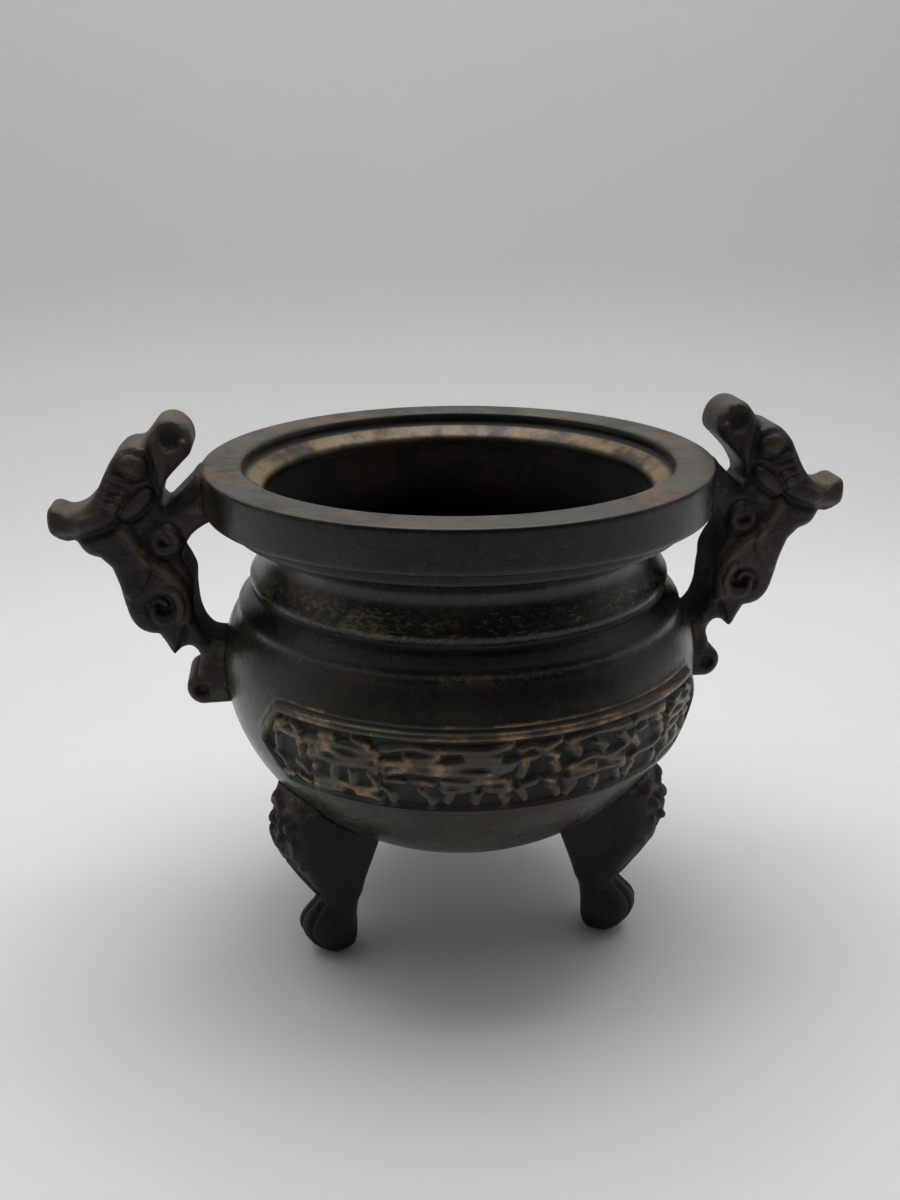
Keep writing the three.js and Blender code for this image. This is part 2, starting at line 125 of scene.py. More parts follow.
def smooth(low, high, value):
    share = np.clip((np.asarray(value, float) - low) / (high - low), 0, 1)
    return share * share * (3 - 2 * share)


def hump(value, centre, width):
    return np.exp(-((np.asarray(value, float) - centre) / width) ** 2)


def curve(points, steps):
    """A smooth curve through the points, with that many steps between two of them."""
    points = np.asarray(points, float)
    padded = np.vstack([2 * points[0] - points[1], points, 2 * points[-1] - points[-2]])
    found = []
    for index in range(len(points) - 1):
        before, start, end, after = padded[index:index + 4]
        for step in range(steps):
            t = step / steps
            bend = 2 * before - 5 * start + 4 * end - after
            twist = -before + 3 * start - 3 * end + after
            found.append(0.5 * (2 * start + (end - before) * t + bend * t * t + twist * t ** 3))
    found.append(points[-1])
    return np.array(found)


def segment_distance(x, y, start, end):
    """Distance of each place from a straight stroke, and how far along the stroke it is."""
    dx, dy = end[0] - start[0], end[1] - start[1]
    along = np.clip(((x - start[0]) * dx + (y - start[1]) * dy) / (dx * dx + dy * dy + 1e-9), 0, 1)
    return np.hypot(x - start[0] - along * dx, y - start[1] - along * dy), along


def path_distance(x, y, points):
    nearest = np.full(np.shape(x), 1e3)
    for start, end in zip(points[:-1], points[1:]):
        nearest = np.minimum(nearest, segment_distance(x, y, start, end)[0])
    return nearest


def outline_distance(x, y, outline):
    """Signed distance from a closed outline, negative inside."""
    nearest = np.full(x.shape, 1e3)
    inside = np.zeros(x.shape, bool)
    for start, end in zip(outline, np.roll(outline, -1, axis=0)):
        nearest = np.minimum(nearest, segment_distance(x, y, start, end)[0])
        spans = (start[1] > y) != (end[1] > y)
        crossing = start[0] + (y - start[1]) * (end[0] - start[0]) / (end[1] - start[1] + 1e-12)
        inside ^= spans & (x < crossing)
    return np.where(inside, -nearest, nearest)


def ridge(distance, width, height):
    """A rounded raised line, by distance from its middle."""
    return height * np.clip(1 - (distance / (width / 2)) ** 2, 0, 1) ** 0.7


def away(x, y, centre, wide=1.0, tall=1.0):
    """Distance from a point, with the drawing stretched sideways or upwards."""
    return np.hypot((x - centre[0]) / wide, (y - centre[1]) / tall)


def dome(x, y, centre, radius, height):
    return ridge(away(x, y, centre), 2 * radius, height)


def hollow(distance, near, far, depth):
    """A round hollow as a fall in height: whole inside near, none beyond far."""
    return -depth * (1 - smooth(near, far, distance))


# Bodies from a field of signed distances on a grid

def net_corners(field, origin, cell):
    """One place in each cell that the surface passes through, and the cell's number there."""
    inside = field < 0
    count = np.zeros(np.array(field.shape) - 1)
    total = np.zeros(count.shape + (3,))
    base = np.stack(np.meshgrid(*[np.arange(n) for n in count.shape], indexing="ij"), -1)
    for axis in range(3):
        others = [other for other in range(3) if other != axis]
        for first in (0, 1):
            for second in (0, 1):
                start = np.zeros(3, int)
                start[others] = first, second
                stop = start.copy()
                stop[axis] = 1
                a = field[tuple(slice(s, s + n) for s, n in zip(start, count.shape))]
                b = field[tuple(slice(s, s + n) for s, n in zip(stop, count.shape))]
                crosses = (a < 0) != (b < 0)
                share = np.where(crosses, a / np.where(crosses, a - b, 1), 0)
                place = base + start
                place = place.astype(float)
                place[..., axis] += share
                total += np.where(crosses[..., None], place, 0)
                count += crosses
    active = count > 0
    number = np.full(active.shape, -1)
    number[active] = np.arange(active.sum())
    corners = total[active] / count[active][:, None]
    return corners * cell + origin, number, inside


def net_faces(number, inside):
    faces = []
    for axis in range(3):
        low = [slice(1, -1)] * 3
        high = [slice(1, -1)] * 3
        low[axis] = slice(0, -1)
        high[axis] = slice(1, None)
        a, b = inside[tuple(low)], inside[tuple(high)]
        cells = np.argwhere(a != b)
        leaving = a[tuple(cells.T)]
        place = cells.copy()
        others = [(axis + 1) % 3, (axis + 2) % 3]
        place[:, others] += 1
        ring = []
        for first, second in ((0, 0), (1, 0), (1, 1), (0, 1)):
            around = place.copy()
            around[:, others[0]] -= first
            around[:, others[1]] -= second
            ring.append(number[tuple(around.T)])
        quads = np.stack(ring, 1)
        quads[~leaving] = quads[~leaving][:, ::-1]
        faces.append(quads)
    return np.vstack(faces)


def rounded(across, along, easing):
    """Signed distance of a body from its distances across and along, with its edges rounded."""
    across, along = across + easing, along + easing
    outside = np.hypot(np.maximum(across, 0), np.maximum(along, 0))
    return np.minimum(np.maximum(across, along), 0) + outside - easing


def beyond_bowl(shape, xs, ys, zs):
    """How far out from the bowl's outside each place of a grid is, at its own level."""
    return np.hypot(xs[:, None, None], ys[None, :, None]) - shape.outer_radius(zs)[None, None, :]


def grid_quads(first, after):
    """Faces between rows of corner numbers and the numbers beside them."""
    return np.stack([first[:-1], after[:-1], after[1:], first[1:]], -1).reshape(-1, 4)


def grid_axes(low, high, cell):
    return [np.arange(a, b + cell, cell) for a, b in zip(low, high)]


def added(name, data):
    """A new object in the scene."""
    made = bpy.data.objects.new(name, data)
    bpy.context.scene.collection.objects.link(made)
    return made


def mesh_piece(name, corners, faces, marks):
    """A smooth mesh object from numpy arrays in millimetres, with its marks as attributes."""
    mesh = bpy.data.meshes.new(name)
    sizes = [len(face) for face in faces]
    mesh.vertices.add(len(corners))
    mesh.vertices.foreach_set("co", (np.asarray(corners) * MM).ravel())
    mesh.loops.add(int(sum(sizes)))
    mesh.loops.foreach_set("vertex_index", np.concatenate([np.ravel(face) for face in faces]))
    mesh.polygons.add(len(sizes))
    mesh.polygons.foreach_set("loop_start", np.concatenate([[0], np.cumsum(sizes)[:-1]]))
    mesh.update(calc_edges=True)
    mesh.validate()
    mesh.shade_smooth()
    for mark, values in marks.items():
        layer = mesh.attributes.new(mark, "FLOAT", "POINT")
        layer.data.foreach_set("value", np.ascontiguousarray(values, dtype=np.float32))
    return added(name, mesh)


def turned_place(x, y, azimuth):
    turn = math.radians(azimuth)
    return x * math.cos(turn) - y * math.sin(turn), x * math.sin(turn) + y * math.cos(turn)


# Bowl: a profile turned round the axis, with the panel raised on the belly

SHOULDER_HEIGHT = 17.2
NECK_HEIGHT = 17.4
RIM_BAND = 9
COLLAR_HEIGHT = 3.5
COLLAR_RADIUS = 49
SEAT_DEPTH = 2.9
LEDGE_DROP = 2.4
PANEL_BELOW_WIDEST = 5.4
PANEL_TURN = 4
PANEL_POINT = 7
PANEL_FRAME = 1.6
PANEL_GROUND = 0.1


class BowlShape:
    """The bowl's levels and radii in millimetres."""

    def __init__(self, sizes):
        for name in BowlSizes.__annotations__:
            setattr(self, name, getattr(sizes, name) / MM)
        self.rim_underside = self.rim_top - RIM_BAND
        self.neck_foot = self.rim_underside - NECK_HEIGHT
        self.widest = self.neck_foot - SHOULDER_HEIGHT
        self.depth = self.widest - self.underside
        self.panel_middle = self.widest - PANEL_BELOW_WIDEST
        share = self.shoulder_radius / self.belly_radius
        self.shoulder_reach = SHOULDER_HEIGHT / math.sqrt(1 - share ** 2)

    def belly(self, angles, inset):
        reach = np.where(angles < 0, self.depth, self.shoulder_reach)
        across, along = reach * np.cos(angles), self.belly_radius * np.sin(angles)
        size = np.hypot(across, along)
        radius = self.belly_radius * np.cos(angles) - inset * across / size
        height = self.widest + reach * np.sin(angles) - inset * along / size
        return np.stack([np.maximum(radius, 0), height], 1)

    def neck_angle(self):
        return math.asin(SHOULDER_HEIGHT / self.shoulder_reach)

    def soft_steps(self, height):
        """Two soft raised rings at the foot of the neck, each with a hollow under it."""
        up = height - self.neck_foot
        steps = 0.6 * hump(up, 2.9, 1.0) - 0.55 * hump(up, 0.3, 0.9)
        return steps + 0.45 * hump(up, -3.1, 0.9) - 0.35 * hump(up, -5.2, 1.0)

    def neck(self):
        def up(share):
            return self.neck_foot + share * (NECK_HEIGHT - COLLAR_HEIGHT)

        places = [
            (self.shoulder_radius, up(0)),
            (self.shoulder_radius - 0.1, up(0.12)),
            (mixed(self.neck_radius, self.shoulder_radius, 0.5), up(0.32)),
            (self.neck_radius, up(0.58)),
            (mixed(self.neck_radius, COLLAR_RADIUS, 0.1), up(0.78)),
            (mixed(self.neck_radius, COLLAR_RADIUS, 0.42), up(0.93)),
            (COLLAR_RADIUS - 0.9, up(0.985)),
        ]
        return curve(places, 8)[1:]

    def outside(self):
        """Radius and height of the outside, from the underside's middle to the rim's top."""
        lower = self.belly(np.linspace(-math.pi / 2, 0, 60), 0)
        upper = self.belly(np.linspace(0, self.neck_angle(), 30)[1:], 0)
        body = np.vstack([lower, upper, self.neck()])
        body[:, 0] += self.soft_steps(body[:, 1]) * smooth(self.widest, self.widest + 4, body[:, 1])
        collar = self.rim_underside - COLLAR_HEIGHT
        corners = [
            ((COLLAR_RADIUS, collar), 0.5), ((COLLAR_RADIUS, self.rim_underside), 0.25),
            ((self.rim_radius, self.rim_underside), 0.9), ((self.rim_radius, self.rim_top), 0.6),
        ]
        return np.vstack([body, eased(body[-1], corners, (self.rim_radius - 3, self.rim_top))])

    def inside(self):
        seat = self.rim_top - SEAT_DEPTH
        foot = seat - LEDGE_DROP
        inner_neck = self.neck_radius - self.wall
        corners = [
            ((self.mouth_radius, self.rim_top), 0.6), ((self.mouth_radius, seat), 0.5),
            ((self.mouth_radius - 0.9, seat), 0.6), ((self.throat_radius, foot), 1.1),
        ]
        throat_top = (self.throat_radius, foot - 2.5)
        rim = eased((self.rim_radius - 3, self.rim_top), corners, throat_top)
        throat = curve([
            throat_top, (mixed(inner_neck, self.throat_radius, 0.6), foot - 5),
            (inner_neck, self.neck_foot + NECK_HEIGHT * 0.45),
            (self.shoulder_radius - self.wall - 0.2, self.neck_foot - 0.4),
        ], 6)[1:-1]
        belly = np.linspace(self.neck_angle(), 0, 14)
        lower = np.linspace(0, -math.pi / 2, 40)[1:]
        return np.vstack([rim, throat, self.belly(belly, self.wall), self.belly(lower, self.wall)])

    def profile(self):
        """The whole profile, and for each of its points the marks rim top, ledge and inside."""
        outside, inside = self.outside(), self.inside()
        places = np.vstack([outside, inside])
        radius, height = places.T
        seat = self.rim_top - SEAT_DEPTH
        throat = seat - LEDGE_DROP - 1.2
        inner = np.arange(len(places)) >= len(outside)
        lip = inner & (height > seat + 0.6) & (radius > self.mouth_radius + 0.4)
        ledge = inner & (height < seat + 0.7) & (height > throat)
        marks = np.zeros((len(places), 3))
        marks[:, 0] = (height > self.rim_top - 0.15) | lip
        marks[:, 1] = ledge * hump(radius, mixed(self.throat_radius, self.mouth_radius, 0.42), 1.9)
        marks[:, 2] = inner & (height <= throat)
        return places, marks

    def outer_radius(self, height):
        """Radius of the outside at a height, for cutting what is brazed on."""
        outside = self.outside()
        order = np.maximum.accumulate(outside[:, 1] + 1e-6 * np.arange(len(outside)))
        return np.interp(height, order, outside[:, 0])


def eased(start, corners, end):
    """Straight runs from start through the corners to end, each corner rounded by its own length."""
    found = []
    before = np.asarray(start, float)
    stops = [np.asarray(place, float) for place, _ in corners] + [np.asarray(end, float)]
    for (place, easing), after in zip(corners, stops[1:]):
        place = np.asarray(place, float)
        back = (before - place) / np.linalg.norm(before - place)
        ahead = (after - place) / np.linalg.norm(after - place)
        for t in np.linspace(0, 1, 5):
            found.append(place + easing * ((1 - t) ** 2 * back + t ** 2 * ahead))
        before = place
    found.append(stops[-1])
    return np.array(found)


PANEL_STEP = 0.38
FINE_STEP = 0.56
PLAIN_STEP = 1.6
INSIDE_STEP = 2.2


def profile_rows(shape):
    """The profile in steps along it, finest over the panel, then from the shoulder to the ledge."""
    places, marks = shape.profile()
    steps = np.hypot(*np.diff(places, axis=0).T)
    run = np.concatenate([[0], np.cumsum(steps)])
    outer = run < run[np.argmax(marks[:, 0] > 0)]
    height = places[:, 1]
    panel = outer & (abs(height - shape.panel_middle) < shape.panel_height / 2 + 1.2)
    fine = outer & (height > shape.widest + 2) | (marks[:, 0] > 0) | (marks[:, 1] > 0)
    plain = np.where(marks[:, 2] > 0, INSIDE_STEP, PLAIN_STEP)
    spacing = np.where(panel, PANEL_STEP, np.where(fine, FINE_STEP, plain))
    dense = np.linspace(0, run[-1], 6000)
    needed = np.cumsum(1 / np.interp(dense, run, spacing)) * (dense[1] - dense[0])
    rows = int(needed[-1])
    at = np.interp(np.linspace(needed[0], needed[-1], rows), needed, dense)
    columns = [np.interp(at, run, values) for values in (places[:, 0], height, *marks.T)]
    return np.stack(columns, 1)


FINE_COLUMNS = 284
COARSE_COLUMNS = 96


def columns_round(shape):
    """Azimuths of the columns, finer over the panel."""
    half = math.degrees((shape.panel_length / 2 + 1.5) / shape.belly_radius)
    middle = PANEL_TURN - 90
    fine = np.linspace(middle - half, middle + half, FINE_COLUMNS)
    coarse = np.linspace(middle + half, middle - half + 360, COARSE_COLUMNS)[1:-1]
    return np.radians(np.concatenate([fine, coarse]))


# Panel: shallow strokes in four blocks. A block is its parts, and a part is left, right, top and
# bottom as shares of the block, then its rows: b bar, s short bars, w wave, u uprights, v slanting

BLOCKS = (
    ((0.0, 0.32, 0.0, 1.0, "sbuvs"), (0.4, 1.0, 0.0, 1.0, "sbwbuws")),
    ((0.0, 1.0, 0.0, 0.48, "wsbw"), (0.0, 0.38, 0.52, 1.0, "sv"), (0.48, 1.0, 0.52, 1.0, "bsu")),
    ((0.0, 0.34, 0.0, 1.0, "wsusv"), (0.44, 1.0, 0.0, 1.0, "bvwsbu")),
    ((0.0, 0.4, 0.0, 1.0, "bsvwu"), (0.5, 1.0, 0.0, 1.0, "swbsvb")),
)
ROW_SHARES = {"b": 1, "s": 1, "w": 1.15, "u": 2.2, "v": 2.2}


def spaced(left, right, pitch):
    """Even places between two ends, as many as the pitch allows and at least two."""
    count = max(int((right - left) / pitch), 2)
    return [mixed(left, right, step / (count - 1)) for step in range(count)]


def row_strokes(kind, left, right, top, height):
    """The strokes of one row of a part of a block, each a path."""
    middle, width = (left + right) / 2, right - left
    line, high, low = top - height * 0.5, top - 0.8, top - height + 0.9
    if kind == "b":
        return [[(left, line - 0.7), (left + 0.8, line), (right - 1.2, line + 0.15), (right, line - 0.6)]]
    if kind == "s":
        inset = 0.1 * width * (1 + math.sin(4 * top))
        return [[(left + inset, line - 0.3), (mixed(left, right, 0.42), line + 0.1)],
                [(mixed(left, right, 0.68), line + 0.2), (right - 0.5 * inset, line - 0.4)]]
    if kind == "w":
        return [[(left + 0.3, line - 0.6), (mixed(left, right, 0.3), line + 0.35),
                 (mixed(left, right, 0.65), line - 0.35), (right - 0.2, line + 0.5)]]
    places = spaced(left + 0.7, right - 0.7, 3.0)
    if kind == "u":
        return [[(middle + 0.9 * (place - middle), high), (middle + 1.06 * (place - middle), low)]
                for place in places]
    return [[(place - 0.9, high), (place + 0.1, line + 0.3), (place + 0.9, low)]
            for place in places]


def block_strokes(shape):
    half = shape.panel_length / 2 - PANEL_POINT * 0.75
    pitch = 2 * half / len(BLOCKS)
    field = shape.panel_height - 2 * PANEL_FRAME - 1.6
    strokes = []
    for block, parts in enumerate(BLOCKS):
        start = -half + block * pitch + 0.8
        width = pitch - 1.6
        for left, right, first, last, kinds in parts:
            unit = field * (last - first) / sum(ROW_SHARES[kind] for kind in kinds)
            level = field / 2 - first * field
            for kind in kinds:
                height = ROW_SHARES[kind] * unit
                strokes += row_strokes(kind, start + left * width, start + right * width, level, height)
                level -= height
    return strokes


def panel_relief(shape, arc, up):
    """Rise of the panel over the belly, and its marks, at places along and above its middle."""
    half, high = shape.panel_length / 2, shape.panel_height / 2
    outline = np.array([
        (-half, 0), (PANEL_POINT - half, high), (half - PANEL_POINT, high),
        (half, 0), (half - PANEL_POINT, -high), (PANEL_POINT - half, -high),
    ])
    border = outline_distance(arc, up, outline)
    nearest = np.full(arc.shape, 9.0)
    for number, path in enumerate(block_strokes(shape)):
        sway = 0.22 * np.sin(arc * 0.6 + 1.7 * number) + 0.12 * np.sin(up * 1.7 + 2 * number)
        path = np.array(path)
        around = (abs(arc - path[:, 0].mean()) < np.ptp(path[:, 0]) / 2 + 2) & (
            abs(up - path[:, 1].mean()) < np.ptp(path[:, 1]) / 2 + 2)
        places = arc[around] + sway[around], up[around] + sway[around]
        nearest[around] = np.minimum(nearest[around], path_distance(*places, curve(path, 3)))
    width = shape.stroke_width
    strokes = 1 - smooth(width / 2 - 0.45, width / 2 + 0.3, nearest)
    crown = 1 - 0.3 * np.clip(nearest / (width / 2), 0, 1) ** 2
    plate = 1 - smooth(-0.35, 0.1, border)
    band = smooth(-PANEL_FRAME - 0.35, -PANEL_FRAME + 0.1, border)
    rise = shape.panel_rise
    field = PANEL_GROUND + (rise * 0.86 - PANEL_GROUND) * strokes * crown
    relief = plate * np.maximum(field, rise * band * (1 - 0.1 * smooth(-0.5, 0, border)))
    # The bead above the panel's top edge: raised a little, and laid with copper as a painted highlight
    # line
    edging = hump(border, 0.95, 0.45) * smooth(0, 2, up)
    # Copper on the stroke crowns is wear, partly a painted highlight; on the frame it fades out downwards,
    # a painted highlight on the upper strip as if lit from above
    wear_and_highlight = plate * np.maximum(0.8 * strokes * smooth(0.7, 0.9, crown), 0.9 * band * smooth(-4, 4, up))
    wear_and_highlight = np.maximum(wear_and_highlight, 0.95 * edging)
    sunk = 0.8 * plate * (1 - np.maximum(strokes, band)) + 0.8 * hump(border, 0.35, 0.3)
    return relief + 0.2 * edging, np.clip(wear_and_highlight, 0, 1), np.clip(sunk, 0, 1)


def round_bowl(values, around):
    """One value for each row, the same in every column."""
    return np.repeat(values[:, None], around, 1)


def over_corners(values):
    """One value for each corner: the rows between the two poles, then the poles."""
    return np.concatenate([values[1:-1].ravel(), [values[0, 0], values[-1, 0]]])


def build_bowl(shape):
    rows = profile_rows(shape)
    azimuths = columns_round(shape)
    radius, height = rows[:, 0], rows[:, 1]
    slope = np.arctan2(np.gradient(height), np.gradient(radius))
    bend = np.gradient(np.unwrap(slope)) / np.hypot(np.gradient(radius), np.gradient(height))
    turn = (azimuths - math.radians(PANEL_TURN - 90) + math.pi) % (2 * math.pi) - math.pi
    arc = turn * shape.belly_radius
    outer = rows[:, 2:].sum(1) < 0.01
    near = outer & (abs(height - shape.panel_middle) < shape.panel_height / 2 + 2)
    relief = np.zeros((len(rows), len(azimuths)))
    wear_and_highlight = round_bowl(np.clip(bend * 0.32, 0, 0.5), len(azimuths))
    sunk = round_bowl(np.clip(-bend * 0.9, 0, 1), len(azimuths))
    grid_arc, grid_up = np.meshgrid(arc, height[near] - shape.panel_middle)
    relief[near], panel_wear_and_highlight, panel_sunk = panel_relief(shape, grid_arc, grid_up)
    wear_and_highlight[near] = np.maximum(wear_and_highlight[near], panel_wear_and_highlight)
    sunk[near] = np.maximum(sunk[near], panel_sunk)
    out, up = np.sin(slope)[:, None], -np.cos(slope)[:, None]
    r = radius[:, None] + relief * out
    z = height[:, None] + relief * up
    ring = np.stack([r * np.cos(azimuths), r * np.sin(azimuths), z + 0 * azimuths], -1)
    middle = ring[1:-1].reshape(-1, 3)
    corners = np.vstack([middle, [[0, 0, height[0]]], [[0, 0, height[-1]]]])
    count, around = len(rows) - 2, len(azimuths)
    first = np.arange(count * around).reshape(count, around)
    after = np.roll(first, -1, axis=1)
    bottom, top = len(middle), len(middle) + 1
    caps = [(bottom, b, a) for a, b in zip(first[0], after[0])]
    caps += [(top, a, b) for a, b in zip(first[-1], after[-1])]
    # Neck band for golden specks: dust, partly painted glints
    dust = hump(height, shape.neck_foot + 4.2, 2.6) + 0.4 * hump(height, shape.neck_foot - 4.6, 1.2)
    dust_and_glint = over_corners(round_bowl(dust * outer, around))
    zones = {name: over_corners(round_bowl(rows[:, 2 + index], around))
             for index, name in enumerate(("rim_top", "ledge", "inside"))}
    marks = {"wear_and_highlight": over_corners(wear_and_highlight), "sunk": over_corners(sunk), "dust": dust_and_glint, **zones}
    return mesh_piece("censer_bowl", corners, list(grid_quads(first, after)) + caps, marks)


BRAZE_DEPTH = 0.12  # handles and legs reach about this far into the bowl


# Handles: a flat drawing, out from the line joining rim and belly, and up from the rim's top

RIGHT_TILT = 1.1  # how much closer in the right handle's lower part stands
VOLUTE_DROP = 48.3
VOLUTE_OUT = 5.1
VOLUTE_RADIUS = 3.3
BURIED = 6
RIM_WEB = ((-6, -0.6), (0, -0.8), (2.1, -2.6), (4.6, -4.9), (6.6, -6.7), (7.5, -7.2))
SLOT_FOOT = ((8.5, -6.2), (7.1, -2.4), (3.3, 1.6), (1.2, 3.7))
EAR = ((0.6, 6.2), (1.2, 8.6), (2.9, 10.3), (4.8, 10.8), (6.9, 10.2), (8.8, 8.1), (10.9, 6))
BROW = ((13, 5.7), (14.9, 4.9), (17.2, 2.5), (19, -0.4), (20.6, -3.2), (22.4, -5.6))
SNOUT = ((24.7, -7.5), (27.4, -8.1), (29.8, -7.1), (31.5, -7.7), (32.1, -10), (31.9, -12.6), (30.2, -14.3))
CHIN = ((28.6, -14.7), (26.8, -14.5), (25.7, -16.2), (24.4, -17.3), (22.2, -17.9))
THROAT = ((20.2, -20), (19.2, -24), (18.7, -27.8))
SCROLL = ((17.9, -31.6), (16.4, -33.9), (14.6, -34.9), (12.5, -35.3))
LEAF = ((11.4, -37.4), (10.2, -40), (9.4, -39.8), (8, -38.6), (6.4, -38.3), (5.2, -39.3),
        (4.7, -41), (5.4, -43.4))
INNER_STEM = ((-6, -38), (0.4, -37.6), (2.6, -36.1), (3.8, -33.3), (4.2, -30.1), (4.1, -26.6))
INNER_JAW = ((3.8, -23.3), (4.6, -20.6), (5.5, -18.3), (4.5, -15.6), (2.4, -13), (-1.5, -10.8), (-6, -9.2))


def volute_arc():
    angles = np.linspace(0.46, -0.56, 14) * math.pi
    radii = np.linspace(VOLUTE_RADIUS, 1.12 * VOLUTE_RADIUS, 14)
    places = [(VOLUTE_OUT + VOLUTE_RADIUS * math.cos(a), -VOLUTE_DROP + r * math.sin(a))
              for a, r in zip(angles, radii)]
    return places + [(-BURIED, -VOLUTE_DROP - 1.05 * VOLUTE_RADIUS)]


def handle_outline():
    groups = [RIM_WEB, SLOT_FOOT + EAR + BROW + SNOUT, CHIN, THROAT + SCROLL, LEAF,
              volute_arc(), INNER_STEM + INNER_JAW]
    return np.vstack([curve(group, 4) for group in groups])


EAR_HOLLOW = (4.8, 6.9)
EYE = (12.9, 1.6)
ALMOND = ((10.6, -4.3), (13, -6.4), (15.4, -8.6))
JAW_RIDGE = ((15.8, -5.6), (19.4, -8.6), (24.6, -10.6))
CHEEK = (8.8, -14.4)
NOSTRIL = (29.9, -9.4)
STEM_RIDGE = ((16.4, -11.4), (14.4, -15.2), (12.2, -18), (9.3, -20.6), (7, -23.6), (5.9, -26.8),
              (5.7, -29.8), (6.6, -32.2))
SECOND_RIDGE = ((13.4, -17.2), (13.2, -20.4), (14.8, -23.4), (17, -25.6))
SCROLL_EYE = (11.3, -29.2)
LEAF_CREASE = ((6.6, -33.2), (7.6, -36.2), (9.4, -39.4))
BROW_FOLD = ((10.4, 4.2), (13.4, 4.9), (16.2, 3.0), (17.4, 0.6))
EAR_CHANNEL = ((9.7, 7.2), (9.3, 3), (9.0, -1.6), (8.6, -4.6))
LOBE = ((6.6, 1.4), (7.4, -2.0), (6.4, -5.6))
MOUTH = ((29.6, -13.4), (24.6, -13.2), (20, -11.8), (17.6, -10.4))
WEB = ((0.5, -3.4), (4.4, -6.6), (9.6, -8.6))
# Each line's path, steps between its points, width, and height or depth as a share of the relief
HANDLE_RIDGES = (
    (JAW_RIDGE, 5, 3.6, 0.9), (STEM_RIDGE, 5, 3.2, 1.4), (SECOND_RIDGE, 5, 2.6, 1.0),
    (BROW_FOLD, 4, 1.7, 0.6), (LOBE, 4, 2.2, 0.6),
)
HANDLE_GROOVES = (
    (EAR_CHANNEL, 4, 1.1, 1.1), (LEAF_CREASE, 4, 0.6, 0.9), (MOUTH, 4, 0.9, 1.1), (WEB, 4, 1.5, 0.7),
)
WRINKLES = 4


def curl(centre, radius, turns, start):
    """A flat spiral that winds in towards its centre."""
    angles = np.linspace(0, turns * 2 * math.pi, 22)
    radii = np.linspace(radius, radius * 0.28, 22)
    return [(centre[0] + r * math.cos(a + start), centre[1] + r * math.sin(a + start))
            for a, r in zip(angles, radii)]


def handle_relief(out, up):
    """Carving of a handle's flat side at places on the drawing, as a share of the relief's height."""
    body = smooth(4, -6, up) * smooth(-46, -41, up)
    relief = -0.5 * body
    for points, steps, width, share in HANDLE_RIDGES:
        relief = relief + ridge(path_distance(out, up, curve(points, steps)), width, share)
    for points, steps, width, share in HANDLE_GROOVES:
        relief = relief - share * hump(path_distance(out, up, curve(points, steps)), 0, width)
    cheek = away(out, up, CHEEK)
    relief = relief - 0.8 * hump(cheek, 0, 1.6) - 0.6 * hump(cheek, 3.9, 0.7)
    relief = relief + ridge(path_distance(out, up, curl(CHEEK, 3.1, 1.1, 2.0)), 2.2, 1.3)
    scroll = away(out, up, SCROLL_EYE)
    relief = relief + hollow(scroll, 2.2, 3.9, 1.1)
    relief = relief + ridge(path_distance(out, up, curl(SCROLL_EYE, 4.8, 0.6, 2.2)), 2.6, 1.5)
    crescent = curl((SCROLL_EYE[0] - 0.2, SCROLL_EYE[1] + 0.2), 2.3, 0.5, 0.2)
    relief = relief + ridge(path_distance(out, up, crescent), 1.6, 1.2)
    pit = away(out, up, (SCROLL_EYE[0] - 0.2, SCROLL_EYE[1] - 0.6), 1.3)
    relief = relief + hollow(pit, 0.5, 1.5, 1.3)
    almond = path_distance(out, up, curve(ALMOND, 4)) + 0.22 * abs(np.hypot(out - 13, up + 6.4) - 1)
    relief = relief + ridge(almond, 3.6, 1.0) - 0.8 * hump(almond, 2.3, 0.6)
    eye = away(out, up, EYE, 1.15)
    relief = relief + ridge(eye, 4.6, 1.0) - 0.8 * hump(eye, 3.0, 0.6)
    for wrinkle in range(WRINKLES):
        start = (14.4 + 0.85 * wrinkle, -1.6 - 1.75 * wrinkle)
        end = (17.3 + 0.85 * wrinkle, -0.7 - 1.75 * wrinkle)
        relief = relief + ridge(segment_distance(out, up, start, end)[0], 1.6, 0.8)
    ear = away(out, up, EAR_HOLLOW, 1.0, 1.15)
    relief = relief + hollow(ear, 1.2, 3.1, 1.3)
    relief = relief + dome(out, up, (EAR_HOLLOW[0] - 2.2, EAR_HOLLOW[1] - 1.2), 1.1, 0.8)
    volute = away(out, up, (VOLUTE_OUT, -VOLUTE_DROP))
    relief = relief + hollow(volute, 0.8, 2.0, 1.3)
    nostril = away(out, up, NOSTRIL)
    return relief - 0.6 * hump(nostril, 0, 1.0)


